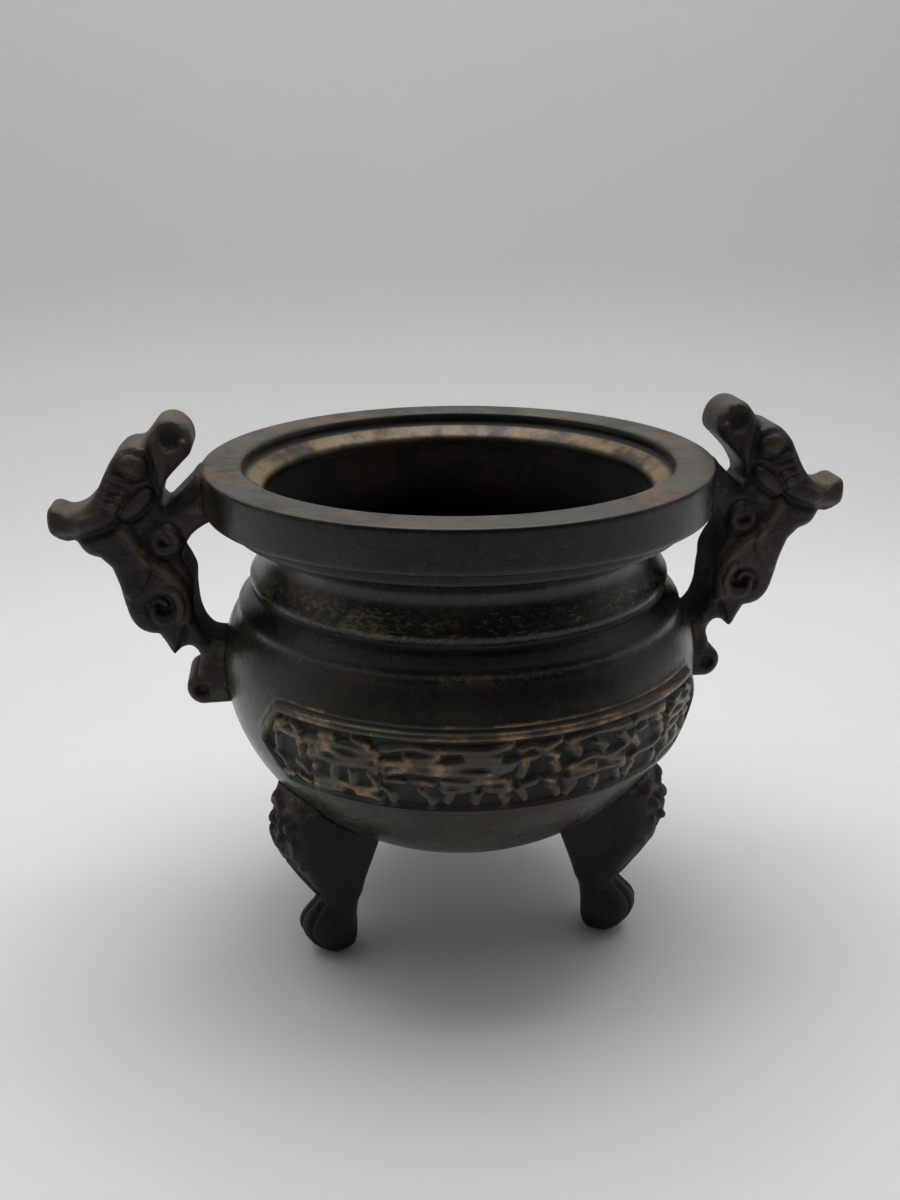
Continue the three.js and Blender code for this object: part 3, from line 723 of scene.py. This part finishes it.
def handle_body(shape, sizes, tilt):
    """Corners, faces and marks of one handle, pointing along +X."""
    half, edge = sizes.thickness / MM / 2, sizes.edge / MM
    rise, cell = sizes.relief / MM, sizes.cell / MM
    low = (shape.rim_radius - 8, -half - 1.4, shape.rim_top - 54)
    high = (shape.rim_radius + 34, half + 1.4, shape.rim_top + 12.5)
    xs, ys, zs = grid_axes(low, high, cell)
    x, z = np.meshgrid(xs, zs, indexing="ij")
    lean = (shape.belly_radius - 0.3 - shape.rim_radius) / VOLUTE_DROP
    up = z - shape.rim_top
    out = x - shape.rim_radius + lean * up + tilt * smooth(-8, -34, up)
    flat = outline_distance(out, up, handle_outline())
    relief = rise * handle_relief(out, up)
    snout = smooth(20, 30, out)
    width = half * (1 - 0.18 * snout) * (1 - 0.1 * smooth(2, 9, up)) + relief
    easing = edge + 1.1 * snout + 0.9 * smooth(3, 8, up)
    across = np.abs(ys)[None, :, None] - width[:, None, :]
    field = rounded(across, flat[:, None, :], easing[:, None, :])
    field = np.maximum(field, -(beyond_bowl(shape, xs, ys, zs) + BRAZE_DEPTH))
    corners, number, inside = net_corners(field, np.array([xs[0], ys[0], zs[0]]), cell)
    place_up = corners[:, 2] - shape.rim_top
    place_out = corners[:, 0] - shape.rim_radius + lean * place_up + tilt * smooth(-8, -34, place_up)
    carved = handle_relief(place_out, place_up)
    side = smooth(half * 0.62, half * 0.85, abs(corners[:, 1]))
    joint = 1 - smooth(0.5, 6, np.hypot(corners[:, 0], corners[:, 1]) - shape.outer_radius(corners[:, 2]))
    # Painted shade on the handle's inner edge, low down beside the bowl
    shaded_inner_edge = smooth(7.5, 5, place_out) * smooth(-8, -13, place_up)
    marks = {
        "wear_and_highlight": np.clip(side * smooth(0.15, 0.95, carved), 0, 1),
        "sunk": np.clip(side * smooth(-0.35, -1.1, carved), 0, 1),
        "joint": np.clip(joint, 0, 1),
        "inner": shaded_inner_edge * (1 - side),
    }
    return corners, net_faces(number, inside), marks


def place_body(name, body, azimuth):
    corners, faces, marks = body
    x, y = turned_place(corners[:, 0], corners[:, 1], azimuth)
    return mesh_piece(name, np.stack([x, y, corners[:, 2]], 1), list(faces), marks)


# Legs: a flat drawing, out from the sole's centre and up from the floor

LEG_INSET = 17
LEG_DRAWN = 41.5
KNEE_RISE = 21.5
LEG_FRONT = ((9, 44.5), (10.4, 41.6), (12.6, 34.8), (12.4, 32.9), (12.5, 30.6), (11, 25.6))
SHIN = ((8.3, 21), (5.4, 16.6), (3.6, 13.8), (3.7, 12.8))
PAW = ((5.3, 11.7), (7.3, 9.9), (8.2, 7.5), (7.6, 4.9), (6.1, 2.6), (4.4, 1.1), (2.4, 0.1), (0, 0),
       (-2, 0.3))
LEG_BACK = ((-3.2, 1.3), (-3.9, 3.6), (-4.2, 8), (-5.7, 14), (-8, 21), (-10, 29), (-8, 36), (0, 43),
            (5, 46))
BROW_LINE = ((-6, 37.5), (-3.6, 39.4), (0, 36.9), (3.6, 39.4), (6, 37.5))
# The mask's lines on one side, mirrored for the other: path, width, height as a share of the relief
MASK_LINES = (
    (((0.9, 27.6), (3.4, 27.8), (5, 30.4), (4.6, 32.2)), 1.7, 0.8),
    (((1.6, 25.8), (3.6, 24.4), (5.4, 26.6)), 1.4, 0.5),
)
TOE_LINE = ((1.3, 12.4), (1.9, 8), (2.2, 2))
LEG_AZIMUTHS = {"foot_front_left": -150, "foot_front_right": -30, "foot_back": 90}


def leg_width_share(level):
    ankle = mixed(0.98, 0.76, smooth(6, 13, level))
    return mixed(ankle, 1, smooth(15, 28, level))


def mask_relief(side, level):
    """Low relief on a leg's outward face: a beast's mask, the fold under it and the toes."""
    relief = ridge(path_distance(side, level, curve(BROW_LINE, 5)), 2.2, 0.9)
    for hand in (-1, 1):
        eye = away(side, level, (hand * 3.1, 34.9))
        relief = relief + ridge(eye, 3.2, 1.1) - 0.5 * hump(eye, 2.2, 0.5)
        relief = relief - 0.4 * hump(away(side, level, (hand * 1.2, 30)), 0, 0.7)
        for points, width, share in MASK_LINES:
            line = curve(np.multiply(points, (hand, 1)), 4)
            relief = relief + ridge(path_distance(side, level, line), width, share)
        toe = path_distance(side, level, curve(np.multiply(TOE_LINE, (hand, 1)), 4))
        relief = relief - 0.8 * hump(toe, 0, 0.55)
    relief = relief + ridge(path_distance(side, level, [(0, 36.6), (0, 31)]), 2.2, 0.9)
    relief = relief + dome(side, level, (0, 30.4), 1.7, 1.1)
    crease = segment_distance(side, level, (0, 26.4), (0, 14.6))[0]
    return relief + ridge(crease, 2.2, 0.9)


def leg_body(shape, sizes):
    """Corners, faces and marks of one leg, pointing along +X."""
    half, edge = sizes.knee_width / MM / 2, sizes.edge / MM
    rise, cell = sizes.relief / MM, sizes.cell / MM
    knee = shape.underside + KNEE_RISE
    sole = shape.belly_radius - LEG_INSET
    xs, ys, zs = grid_axes((sole - 12, -half - 1.6, -1.2), (sole + 15.5, half + 1.6, knee + 4), cell)
    x, z = np.meshgrid(xs, zs, indexing="ij")
    level = z / knee * LEG_DRAWN
    drawing = np.vstack([curve(group, 4) for group in (LEG_FRONT, SHIN, PAW, LEG_BACK)])
    flat = outline_distance(x - sole, level, drawing)
    width = half * leg_width_share(level)
    paw = smooth(14, 10, level)
    easing = np.minimum(edge + 2.4 * paw, width - 0.3)
    sides, levels = np.meshgrid(ys, zs / knee * LEG_DRAWN, indexing="ij")
    relief = rise * mask_relief(sides, levels)
    outward = smooth(-2, 3, x - sole - mixed(2, 6, smooth(12, 28, level)))
    along = flat[:, None, :] - relief[None] * outward[:, None, :]
    across = np.abs(ys)[None, :, None] - width[:, None, :]
    field = rounded(across, along, easing[:, None, :])
    bowl = beyond_bowl(shape, xs, ys, zs) * 0.8 + BRAZE_DEPTH
    under = zs[None, None, :] < shape.underside
    field = np.maximum(field, np.where(under, -9.0, -bowl))
    corners, number, inside = net_corners(field, np.array([xs[0], ys[0], zs[0]]), cell)
    corners[:, 2] = np.maximum(corners[:, 2], 0)
    carved = mask_relief(corners[:, 1], corners[:, 2] / knee * LEG_DRAWN)
    front = smooth(2, 8, corners[:, 0] - sole)
    marks = {
        "wear_and_highlight": np.clip(front * smooth(0.35, 1.1, carved), 0, 1),
        "sunk": np.clip(front * smooth(-0.1, -0.6, carved), 0, 1),
        "joint": 1 - smooth(0.5, 5, knee - corners[:, 2]),
        # Painted shade on the bottom of the leg, near the floor
        "inner": smooth(10, 2, corners[:, 2]),
    }
    return corners, net_faces(number, inside), marks


# Finishes

class Wire:
    """A number socket in a node tree, so that shader maths reads as plain sums."""

    def __init__(self, finish, socket):
        self.finish = finish
        self.socket = socket

    def sum_of(self, operation, first, second):
        return self.finish.node("ShaderNodeMath", {"operation": operation}, {0: first, 1: second})

    def __add__(self, other):
        return self.sum_of("ADD", self, other)

    def __radd__(self, other):
        return self.sum_of("ADD", other, self)

    def __sub__(self, other):
        return self.sum_of("SUBTRACT", self, other)

    def __rsub__(self, other):
        return self.sum_of("SUBTRACT", other, self)

    def __mul__(self, other):
        return self.sum_of("MULTIPLY", self, other)

    def __rmul__(self, other):
        return self.sum_of("MULTIPLY", other, self)


class Wiring:
    """A node tree with one method that adds any node: its settings first, then its sockets."""

    def __init__(self, tree):
        self.tree = tree

    def node(self, kind, settings, sockets, output=0):
        made = self.tree.nodes.new(kind)
        for name, value in settings.items():
            setattr(made, name, value)
        for name, value in sockets.items():
            self.feed(made.inputs[name], value)
        return Wire(self, made.outputs[output])

    def feed(self, socket, value):
        if isinstance(value, Wire):
            self.tree.links.new(value.socket, socket)
        else:
            socket.default_value = value

    def between(self, value, low, high):
        """0 below low, 1 above high, smooth between."""
        sockets = {"Value": value, "From Min": low, "From Max": high}
        return self.node("ShaderNodeMapRange", {"interpolation_type": "SMOOTHSTEP"}, sockets)

    def separate(self, vector):
        first = self.node("ShaderNodeSeparateXYZ", {}, {0: vector})
        return [Wire(self, output) for output in first.socket.node.outputs]


class Finish(Wiring):
    """A material: object-space patterns, marks read from the piece, and one shader."""

    def __init__(self, name, gloss):
        self.material = bpy.data.materials.new(name)
        self.material.use_nodes = True
        super().__init__(self.material.node_tree)
        self.gloss = gloss
        self.shader = self.tree.nodes["Principled BSDF"]
        self.place = self.node("ShaderNodeTexCoord", {}, {}, "Object")
        self.base = None

    def mark(self, name):
        return self.node("ShaderNodeAttribute", {"attribute_name": name}, {}, "Fac")

    def stretched(self, scale):
        return self.node("ShaderNodeVectorMath", {"operation": "MULTIPLY"}, {0: self.place, 1: scale})

    def noise(self, scale, detail=4, roughness=0.55, vector=None, warp=0.0):
        sockets = {"Vector": vector or self.place, "Scale": scale, "Detail": detail,
                   "Roughness": roughness, "Distortion": warp}
        return self.node("ShaderNodeTexNoise", {}, sockets, "Fac")

    def blend(self, first, second, share):
        """A colour between two colours; the sockets are the mix node's colour ones."""
        return self.node("ShaderNodeMix", {"data_type": "RGBA"}, {0: share, 6: first, 7: second}, 2)

    def two_tone(self, first, second, value, low, high):
        return self.blend(first, second, self.between(value, low, high))

    def lay(self, over, share):
        """Lays a colour over the base as it is so far."""
        self.base = self.blend(self.base, over, share)

    def axis_place(self, along, up):
        """Distance from the axis and height, for turning marks that run round the bowl."""
        x, y, z = self.separate(self.place)
        radius = self.node("ShaderNodeMath", {"operation": "SQRT"}, {0: x * x + y * y})
        return self.node("ShaderNodeCombineXYZ", {}, {0: radius * along, 1: z * up, 2: 0.0})

    def facing_up(self):
        normal = self.node("ShaderNodeNewGeometry", {}, {}, "Normal")
        return self.separate(normal)[2]

    def bump(self, height, strength, distance):
        sockets = {"Strength": strength, "Distance": distance, "Height": height}
        return self.node("ShaderNodeBump", {}, sockets)

    def finish(self, metallic, roughness, normal):
        values = {"Specular IOR Level": self.gloss, "Base Color": self.base, "Metallic": metallic,
                  "Roughness": roughness, "Normal": normal}
        for name, value in values.items():
            self.feed(self.shader.inputs[name], value)
        return self.material


def tint(value, share=1.0):
    """A colour made brighter or darker by a share, as a node takes it."""
    return (*[channel * share for channel in value], 1)


# Golden specks on the neck: dust colour, partly painted glints
NECK_DUST_GLINT = (0.150, 0.135, 0.075, 1)
JOINT_DUST = (0.100, 0.098, 0.066, 1)
RUST_SPECKS = (0.13, 0.066, 0.03, 1)
HOLLOW_DARK = (0.004, 0.004, 0.005, 1)
# Painted shade colour for the handles' inner edges and the legs' bottoms
PAINTED_SHADE_DARK = (0.003, 0.004, 0.007, 1)
CARD_PALE = (0.85, 0.85, 0.84, 1)
CARD_PALEST = (0.88, 0.88, 0.87, 1)
# Painted shade colour for the floor out in front
CARD_PAINTED_SHADE = (0.43, 0.43, 0.425, 1)
REFLECTION_TOP, REFLECTION_MOST = 0.084, 0.062  # metres up: no painted belly reflection above the first, most below the second
# Shares of painted top light on the upper sides of the handles and of the legs
HANDLE_TOP_LIGHT, LEG_TOP_LIGHT = 0.75, 0.35


def bowl_finish(colours):
    """Dark patina with streaks and rust, worn ridges, dirty ground, gold ledge and sooty inside, with
    painted light: a painted reflection low on the belly, painted top light on the rim's grey top, painted
    highlights in the worn copper, on the panel's upper frame and its bead, and painted glints in the
    neck's golden specks.
    """
    bronze = Finish("bowl_bronze", 0.4)
    broad = bronze.noise(38, 5, 0.6, warp=0.4)
    cloud = bronze.noise(95, 6, 0.65)
    grain = bronze.noise(1500, 3, 0.6)
    speck = bronze.noise(520, 4, 0.7)
    wear_and_highlight = bronze.between(bronze.mark("wear_and_highlight") + 0.7 * (speck - 0.5), 0.45, 0.9)
    sunk = bronze.mark("sunk")
    bronze.base = bronze.two_tone(tint(colours.patina, 0.4), tint(colours.patina, 2.0), broad, 0.38, 0.64)
    level = bronze.separate(bronze.place)[2]
    mottled = bronze.between(cloud, 0.4, 0.6)
    # Painted reflection: the lower belly is laid with lighter grey, standing in for the floor's reflection
    # and sheen
    low_down = bronze.between(0.003 * (broad - 0.5) - level, -REFLECTION_TOP, -REFLECTION_MOST)
    bronze.lay(tint(colours.belly_reflection), low_down * (0.5 + 0.5 * mottled))
    rusty = bronze.between(bronze.noise(30, 6, 0.7, warp=0.8), 0.5, 0.62)
    bronze.lay(tint(colours.rust, 0.62), rusty * 0.8)
    fine = bronze.noise(700, 6, 0.8)
    flecks = bronze.between(fine + 0.5 * (cloud - 0.5), 0.52, 0.64)
    bronze.lay(tint(colours.patina, 5.0), flecks * 0.55)
    # Golden specks streaked round the neck: dust, partly painted glints
    streaks = bronze.noise(620, 5, 0.8, bronze.stretched((1.0, 1.0, 2.6)))
    drift = bronze.noise(60, 4, 0.7)
    dust_and_glint = bronze.mark("dust") * bronze.between(streaks + 0.5 * (drift - 0.5), 0.48, 0.62)
    bronze.lay(NECK_DUST_GLINT, dust_and_glint)
    # Brighter copper patches: bare worn metal, partly painted glints
    painted_light_share = bronze.between(bronze.noise(150, 5, 0.7) + 0.3 * (speck - 0.5), 0.46, 0.66)
    copper = bronze.blend(tint(colours.copper, 0.36), tint(colours.copper, 1.4), painted_light_share)
    bronze.lay(copper, wear_and_highlight * (0.6 + 0.4 * painted_light_share))
    ground = bronze.between(sunk + 0.3 * (cloud - 0.5), 0.3, 0.9)
    bronze.lay(tint(colours.verdigris, 0.4), ground)
    rim_top, ledge, inside = bronze.mark("rim_top"), bronze.mark("ledge"), bronze.mark("inside")
    patches = bronze.between(bronze.noise(45, 7, 0.7, warp=0.6), 0.47, 0.6)
    grey = bronze.blend(tint(colours.rim_grey), tint(colours.rust, 2.6), patches * 0.85)
    grey = bronze.blend(grey, tint(colours.rim_grey, 0.4), bronze.between(cloud, 0.49, 0.6) * 0.7)
    grey = bronze.blend(grey, RUST_SPECKS, bronze.between(fine, 0.56, 0.66) * 0.8)
    # The rim's flat top is laid grey: rubbed wear, partly painted top light from above
    bronze.lay(grey, bronze.between(rim_top, 0.3, 0.7))
    gold = bronze.two_tone(tint(colours.ledge_gold), tint(colours.rust, 0.7), cloud, 0.42, 0.62)
    bronze.lay(gold, bronze.between(ledge, 0.3, 0.8))
    soot = bronze.two_tone(tint(colours.soot), tint(colours.rust, 0.38),
                           bronze.noise(42, 6, 0.7, warp=0.5), 0.48, 0.6)
    bronze.lay(soot, bronze.between(inside, 0.3, 0.7))
    rings = bronze.noise(1.0, 3, 0.6, bronze.axis_place(2600, 2600))
    pits = bronze.between(bronze.noise(620, 5, 0.75), 0.62, 0.7)
    metallic = 0.05 + 0.45 * wear_and_highlight * painted_light_share * (1 - inside) + 0.35 * dust_and_glint
    roughness = 0.21 + 0.34 * (cloud - 0.35) + 0.12 * rusty + 0.22 * rim_top
    roughness = roughness + 0.6 * inside + 0.12 * ledge + 0.35 * ground
    turned = rings * (0.03 + 0.1 * rim_top)
    height = 0.2 * grain + 0.5 * speck + 0.2 * cloud + turned - 0.8 * pits
    return bronze.finish(metallic, roughness, bronze.bump(height, 0.22, 0.0008))


def carved_finish(name, brown, colours, top_light_share):
    """Brown-black cast patina with painted top light on the upper sides, worn copper on the carving that
    is partly a painted highlight, darker hollows, painted shade along the handles' inner edges and the
    legs' bottoms, and dust and rust at the joints.
    """
    bronze = Finish(name, 0.34)
    broad = bronze.noise(70, 5, 0.6, warp=0.5)
    cloud = bronze.noise(210, 6, 0.65)
    grain = bronze.noise(1700, 3, 0.6)
    speck = bronze.noise(650, 4, 0.7)
    bronze.base = bronze.two_tone(tint(brown, 0.6), tint(brown, 1.5), broad, 0.38, 0.62)
    # Painted top light: sides that face up are painted a lighter tan, as if lit from above
    painted_light_share = bronze.between(bronze.facing_up() + 0.7 * (cloud - 0.5), 0.3, 0.95)
    top_light_tan = bronze.two_tone(tint(colours.rim_grey, 1.1), tint(colours.ledge_gold, 0.5),
                          broad, 0.4, 0.6)
    bronze.lay(top_light_tan, painted_light_share * top_light_share)
    # Copper on the raised carving: wear, partly a painted highlight
    wear_and_highlight = bronze.between(bronze.mark("wear_and_highlight") + 1.4 * (cloud - 0.5), 0.5, 1.15)
    bronze.lay(tint(colours.copper, 0.5), wear_and_highlight * 0.5)
    joint = bronze.mark("joint")
    rusty = bronze.between(joint + 1.6 * (cloud - 0.5), 0.55, 1.1)
    bronze.lay(tint(colours.rust, 0.9), rusty * 0.7)
    dust = bronze.between(bronze.noise(200, 6, 0.8), 0.49, 0.57) * bronze.between(joint, 0.01, 0.4)
    bronze.lay(JOINT_DUST, dust * 0.65)
    bronze.lay(HOLLOW_DARK, bronze.between(bronze.mark("sunk"), 0.2, 0.9) * 0.8)
    # Painted shade: the handles' inner edges and the legs' bottoms are darkened
    bronze.lay(PAINTED_SHADE_DARK, bronze.mark("inner") * 0.8)
    pits = bronze.between(bronze.noise(700, 5, 0.75), 0.62, 0.7)
    roughness = 0.42 + 0.25 * (cloud - 0.3) + 0.08 * joint + 0.45 * bronze.mark("inner")
    height = 0.3 * grain + 0.6 * speck + 0.9 * cloud - 0.8 * pits
    return bronze.finish(0.06 + 0.4 * wear_and_highlight, roughness, bronze.bump(height, 0.65, 0.0008))


def paper_finish():
    """Smooth pale card for the floor and the sweep behind, with painted shade dimming it out in front."""
    card = Finish("pale_card", 0.3)
    cloud = card.noise(9, 4, 0.5)
    pale = card.blend(CARD_PALE, CARD_PALEST, cloud)
    depth = card.separate(card.place)[1]
    card.base = card.two_tone(CARD_PAINTED_SHADE, pale, depth, FLOOR_SHADE_FULL, FLOOR_PALE)
    rough = 0.7 + 0.1 * cloud
    return card.finish(0.0, rough, card.bump(card.noise(700, 3), 0.04, 0.0004))


# Operators, one for each group of like pieces and one for the stage

def dressed(piece, material, node):
    piece.data.materials.append(material)
    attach(piece, "root")
    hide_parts(node)


def bowl_shape():
    return BowlShape(bpy.context.scene.censer_bowl_sizes)


class CENSER_OT_bowl(bpy.types.Operator):
    """Builds the open bowl with its rim, ledge, shoulder steps and raised panel"""
    bl_idname = "censer.bowl"
    bl_label = "Build bowl"

    def execute(self, context):
        colours = context.scene.censer_colours
        dressed(build_bowl(bowl_shape()), bowl_finish(colours), "bowl")
        return {"FINISHED"}


class CENSER_OT_handles(bpy.types.Operator):
    """Builds the two carved beast-head handles"""
    bl_idname = "censer.handles"
    bl_label = "Build handles"

    def execute(self, context):
        colours = context.scene.censer_colours
        sizes = context.scene.censer_handle_sizes
        material = carved_finish("handle_bronze", colours.handle_brown, colours, HANDLE_TOP_LIGHT)
        for side, azimuth, tilt in (("right", 0, RIGHT_TILT), ("left", 180, 0)):
            body = handle_body(bowl_shape(), sizes, tilt)
            piece = place_body("censer_handle_" + side, body, azimuth)
            dressed(piece, material, "handle_" + side)
        return {"FINISHED"}


class CENSER_OT_legs(bpy.types.Operator):
    """Builds the three legs with a mask on each knee"""
    bl_idname = "censer.legs"
    bl_label = "Build legs"

    def execute(self, context):
        colours = context.scene.censer_colours
        material = carved_finish("leg_bronze", colours.leg_brown, colours, LEG_TOP_LIGHT)
        body = leg_body(bowl_shape(), context.scene.censer_leg_sizes)
        for node, azimuth in LEG_AZIMUTHS.items():
            dressed(place_body("censer_" + node, body, azimuth), material, node)
        return {"FINISHED"}


# Stage: the camera in millimetres and degrees, the floor and the light in metres and watts

FOCAL_LENGTH = 36.02
CAMERA_PLACE = (-32.25, -248.42, 168.38)
CAMERA_YAW = 6.964
CAMERA_PITCH = 20.372
CAMERA_ROLL = -0.3316
SWEEP_START = 0.2
SWEEP_BEND = 0.12
SWEEP_TOP = 0.75
ROOM_GREY = 0.55
# Painted shade on the floor: full in front of the first depth, gone behind the second
FLOOR_SHADE_FULL = -0.5
FLOOR_PALE = -0.14
FLOOR_FRONT = -1.2
FLOOR_HALF_WIDTH = 1.5
LIGHT_PLACE = (0, 0.15, 0.66)
LIGHT_TARGET = (0, 0.03, 0)
LIGHT_SIZE = (0.7, 0.5)
LIGHT_POWER = 3.2


def add_camera():
    camera = bpy.data.cameras.new("camera")
    camera.lens = FOCAL_LENGTH
    camera.sensor_width = 36
    camera.clip_start = 0.01
    yaw, pitch, roll = [math.radians(a) for a in (CAMERA_YAW, CAMERA_PITCH, CAMERA_ROLL)]
    forward = Vector((math.sin(yaw) * math.cos(pitch), math.cos(yaw) * math.cos(pitch), -math.sin(pitch)))
    level = Vector((math.cos(yaw), -math.sin(yaw), 0))
    above = level.cross(forward)
    right = math.cos(roll) * level + math.sin(roll) * above
    up = -math.sin(roll) * level + math.cos(roll) * above
    holder = added("camera", camera)
    turn = Matrix((right, up, -forward)).transposed().to_4x4()
    holder.matrix_world = Matrix.Translation(Vector(CAMERA_PLACE) * MM) @ turn
    bpy.context.scene.camera = holder


def add_light(name, place, target, size, power):
    light = bpy.data.lights.new(name, "AREA")
    light.shape = "RECTANGLE"
    light.size, light.size_y = size
    light.energy = power
    holder = added(name, light)
    aim = Vector(target) - Vector(place)
    holder.location = place
    holder.rotation_euler = aim.to_track_quat("-Z", "Y").to_euler()


def add_sweep():
    """A floor that bends up into a wall behind the object."""
    heights = [(FLOOR_FRONT, 0), (SWEEP_START, 0)]
    for step in range(1, 13):
        angle = step / 12 * math.pi / 2
        heights.append((SWEEP_START + SWEEP_BEND * math.sin(angle), SWEEP_BEND * (1 - math.cos(angle))))
    heights.append((SWEEP_START + SWEEP_BEND, SWEEP_TOP))
    across = np.linspace(-FLOOR_HALF_WIDTH, FLOOR_HALF_WIDTH, 13)
    corners = [(x / MM, y / MM, z / MM) for y, z in heights for x in across]
    number = np.arange(len(corners)).reshape(len(heights), len(across))
    return mesh_piece("floor", corners, grid_quads(number[:, :-1], number[:, 1:]), {})


def light_world(front, above, around):
    """A soft room, bright above, dim on the viewer's side, and an even grey to the camera."""
    world = bpy.data.worlds.new("studio")
    world.use_nodes = True
    bpy.context.scene.world = world
    room = Wiring(world.node_tree)
    place = room.node("ShaderNodeTexCoord", {}, {}, "Generated")
    _, back, up = room.separate(place)
    level = front + (around - front) * room.between(back, -0.75, 0.15)
    high = room.between(0.8 * up + 0.5 * back, 0.4, 0.95)
    glow = level + high * (above - level)
    seen = room.node("ShaderNodeLightPath", {}, {}, "Is Camera Ray")
    shown = glow + seen * (ROOM_GREY - glow)
    background = world.node_tree.nodes["Background"]
    room.feed(background.inputs["Strength"], shown)
    room.feed(background.inputs["Color"], (1, 0.995, 0.98, 1))


class CENSER_OT_stage(bpy.types.Operator):
    """Adds the camera, the light, the room and the pale floor with its sweep"""
    bl_idname = "censer.stage"
    bl_label = "Set up stage"

    def execute(self, context):
        context.scene.view_settings.view_transform = "Standard"
        add_camera()
        floor = add_sweep()
        floor.data.materials.append(paper_finish())
        light_world(front=0.06, above=0.84, around=0.48)
        add_light("overhead", LIGHT_PLACE, LIGHT_TARGET, LIGHT_SIZE, LIGHT_POWER)
        return {"FINISHED"}


class CENSER_PT_panel(bpy.types.Panel):
    """Lists the operators that build the censer"""
    bl_idname = "CENSER_PT_panel"
    bl_label = "Censer"
    bl_space_type = "VIEW_3D"
    bl_region_type = "UI"
    bl_category = "Censer"

    def draw(self, context):
        for operator in OPERATORS:
            self.layout.operator(operator.bl_idname)


OPERATORS = (CENSER_OT_bowl, CENSER_OT_handles, CENSER_OT_legs, CENSER_OT_stage)
CLASSES = (BowlSizes, HandleSizes, LegSizes, BronzeColours, *OPERATORS, CENSER_PT_panel)
GROUPS = {
    "censer_bowl_sizes": BowlSizes,
    "censer_handle_sizes": HandleSizes,
    "censer_leg_sizes": LegSizes,
    "censer_colours": BronzeColours,
}


def register():
    for item in CLASSES:
        bpy.utils.register_class(item)
    for name, group in GROUPS.items():
        setattr(bpy.types.Scene, name, bpy.props.PointerProperty(type=group))


def unregister():
    for name in GROUPS:
        delattr(bpy.types.Scene, name)
    for item in reversed(CLASSES):
        bpy.utils.unregister_class(item)


def plain(bounds):
    return [[float(value) for value in corner] for corner in bounds]


def main():
    register()
    bpy.ops.censer.bowl()
    bpy.ops.censer.handles()
    bpy.ops.censer.legs()
    bpy.ops.censer.stage()


if __name__ == "__main__":
    main()
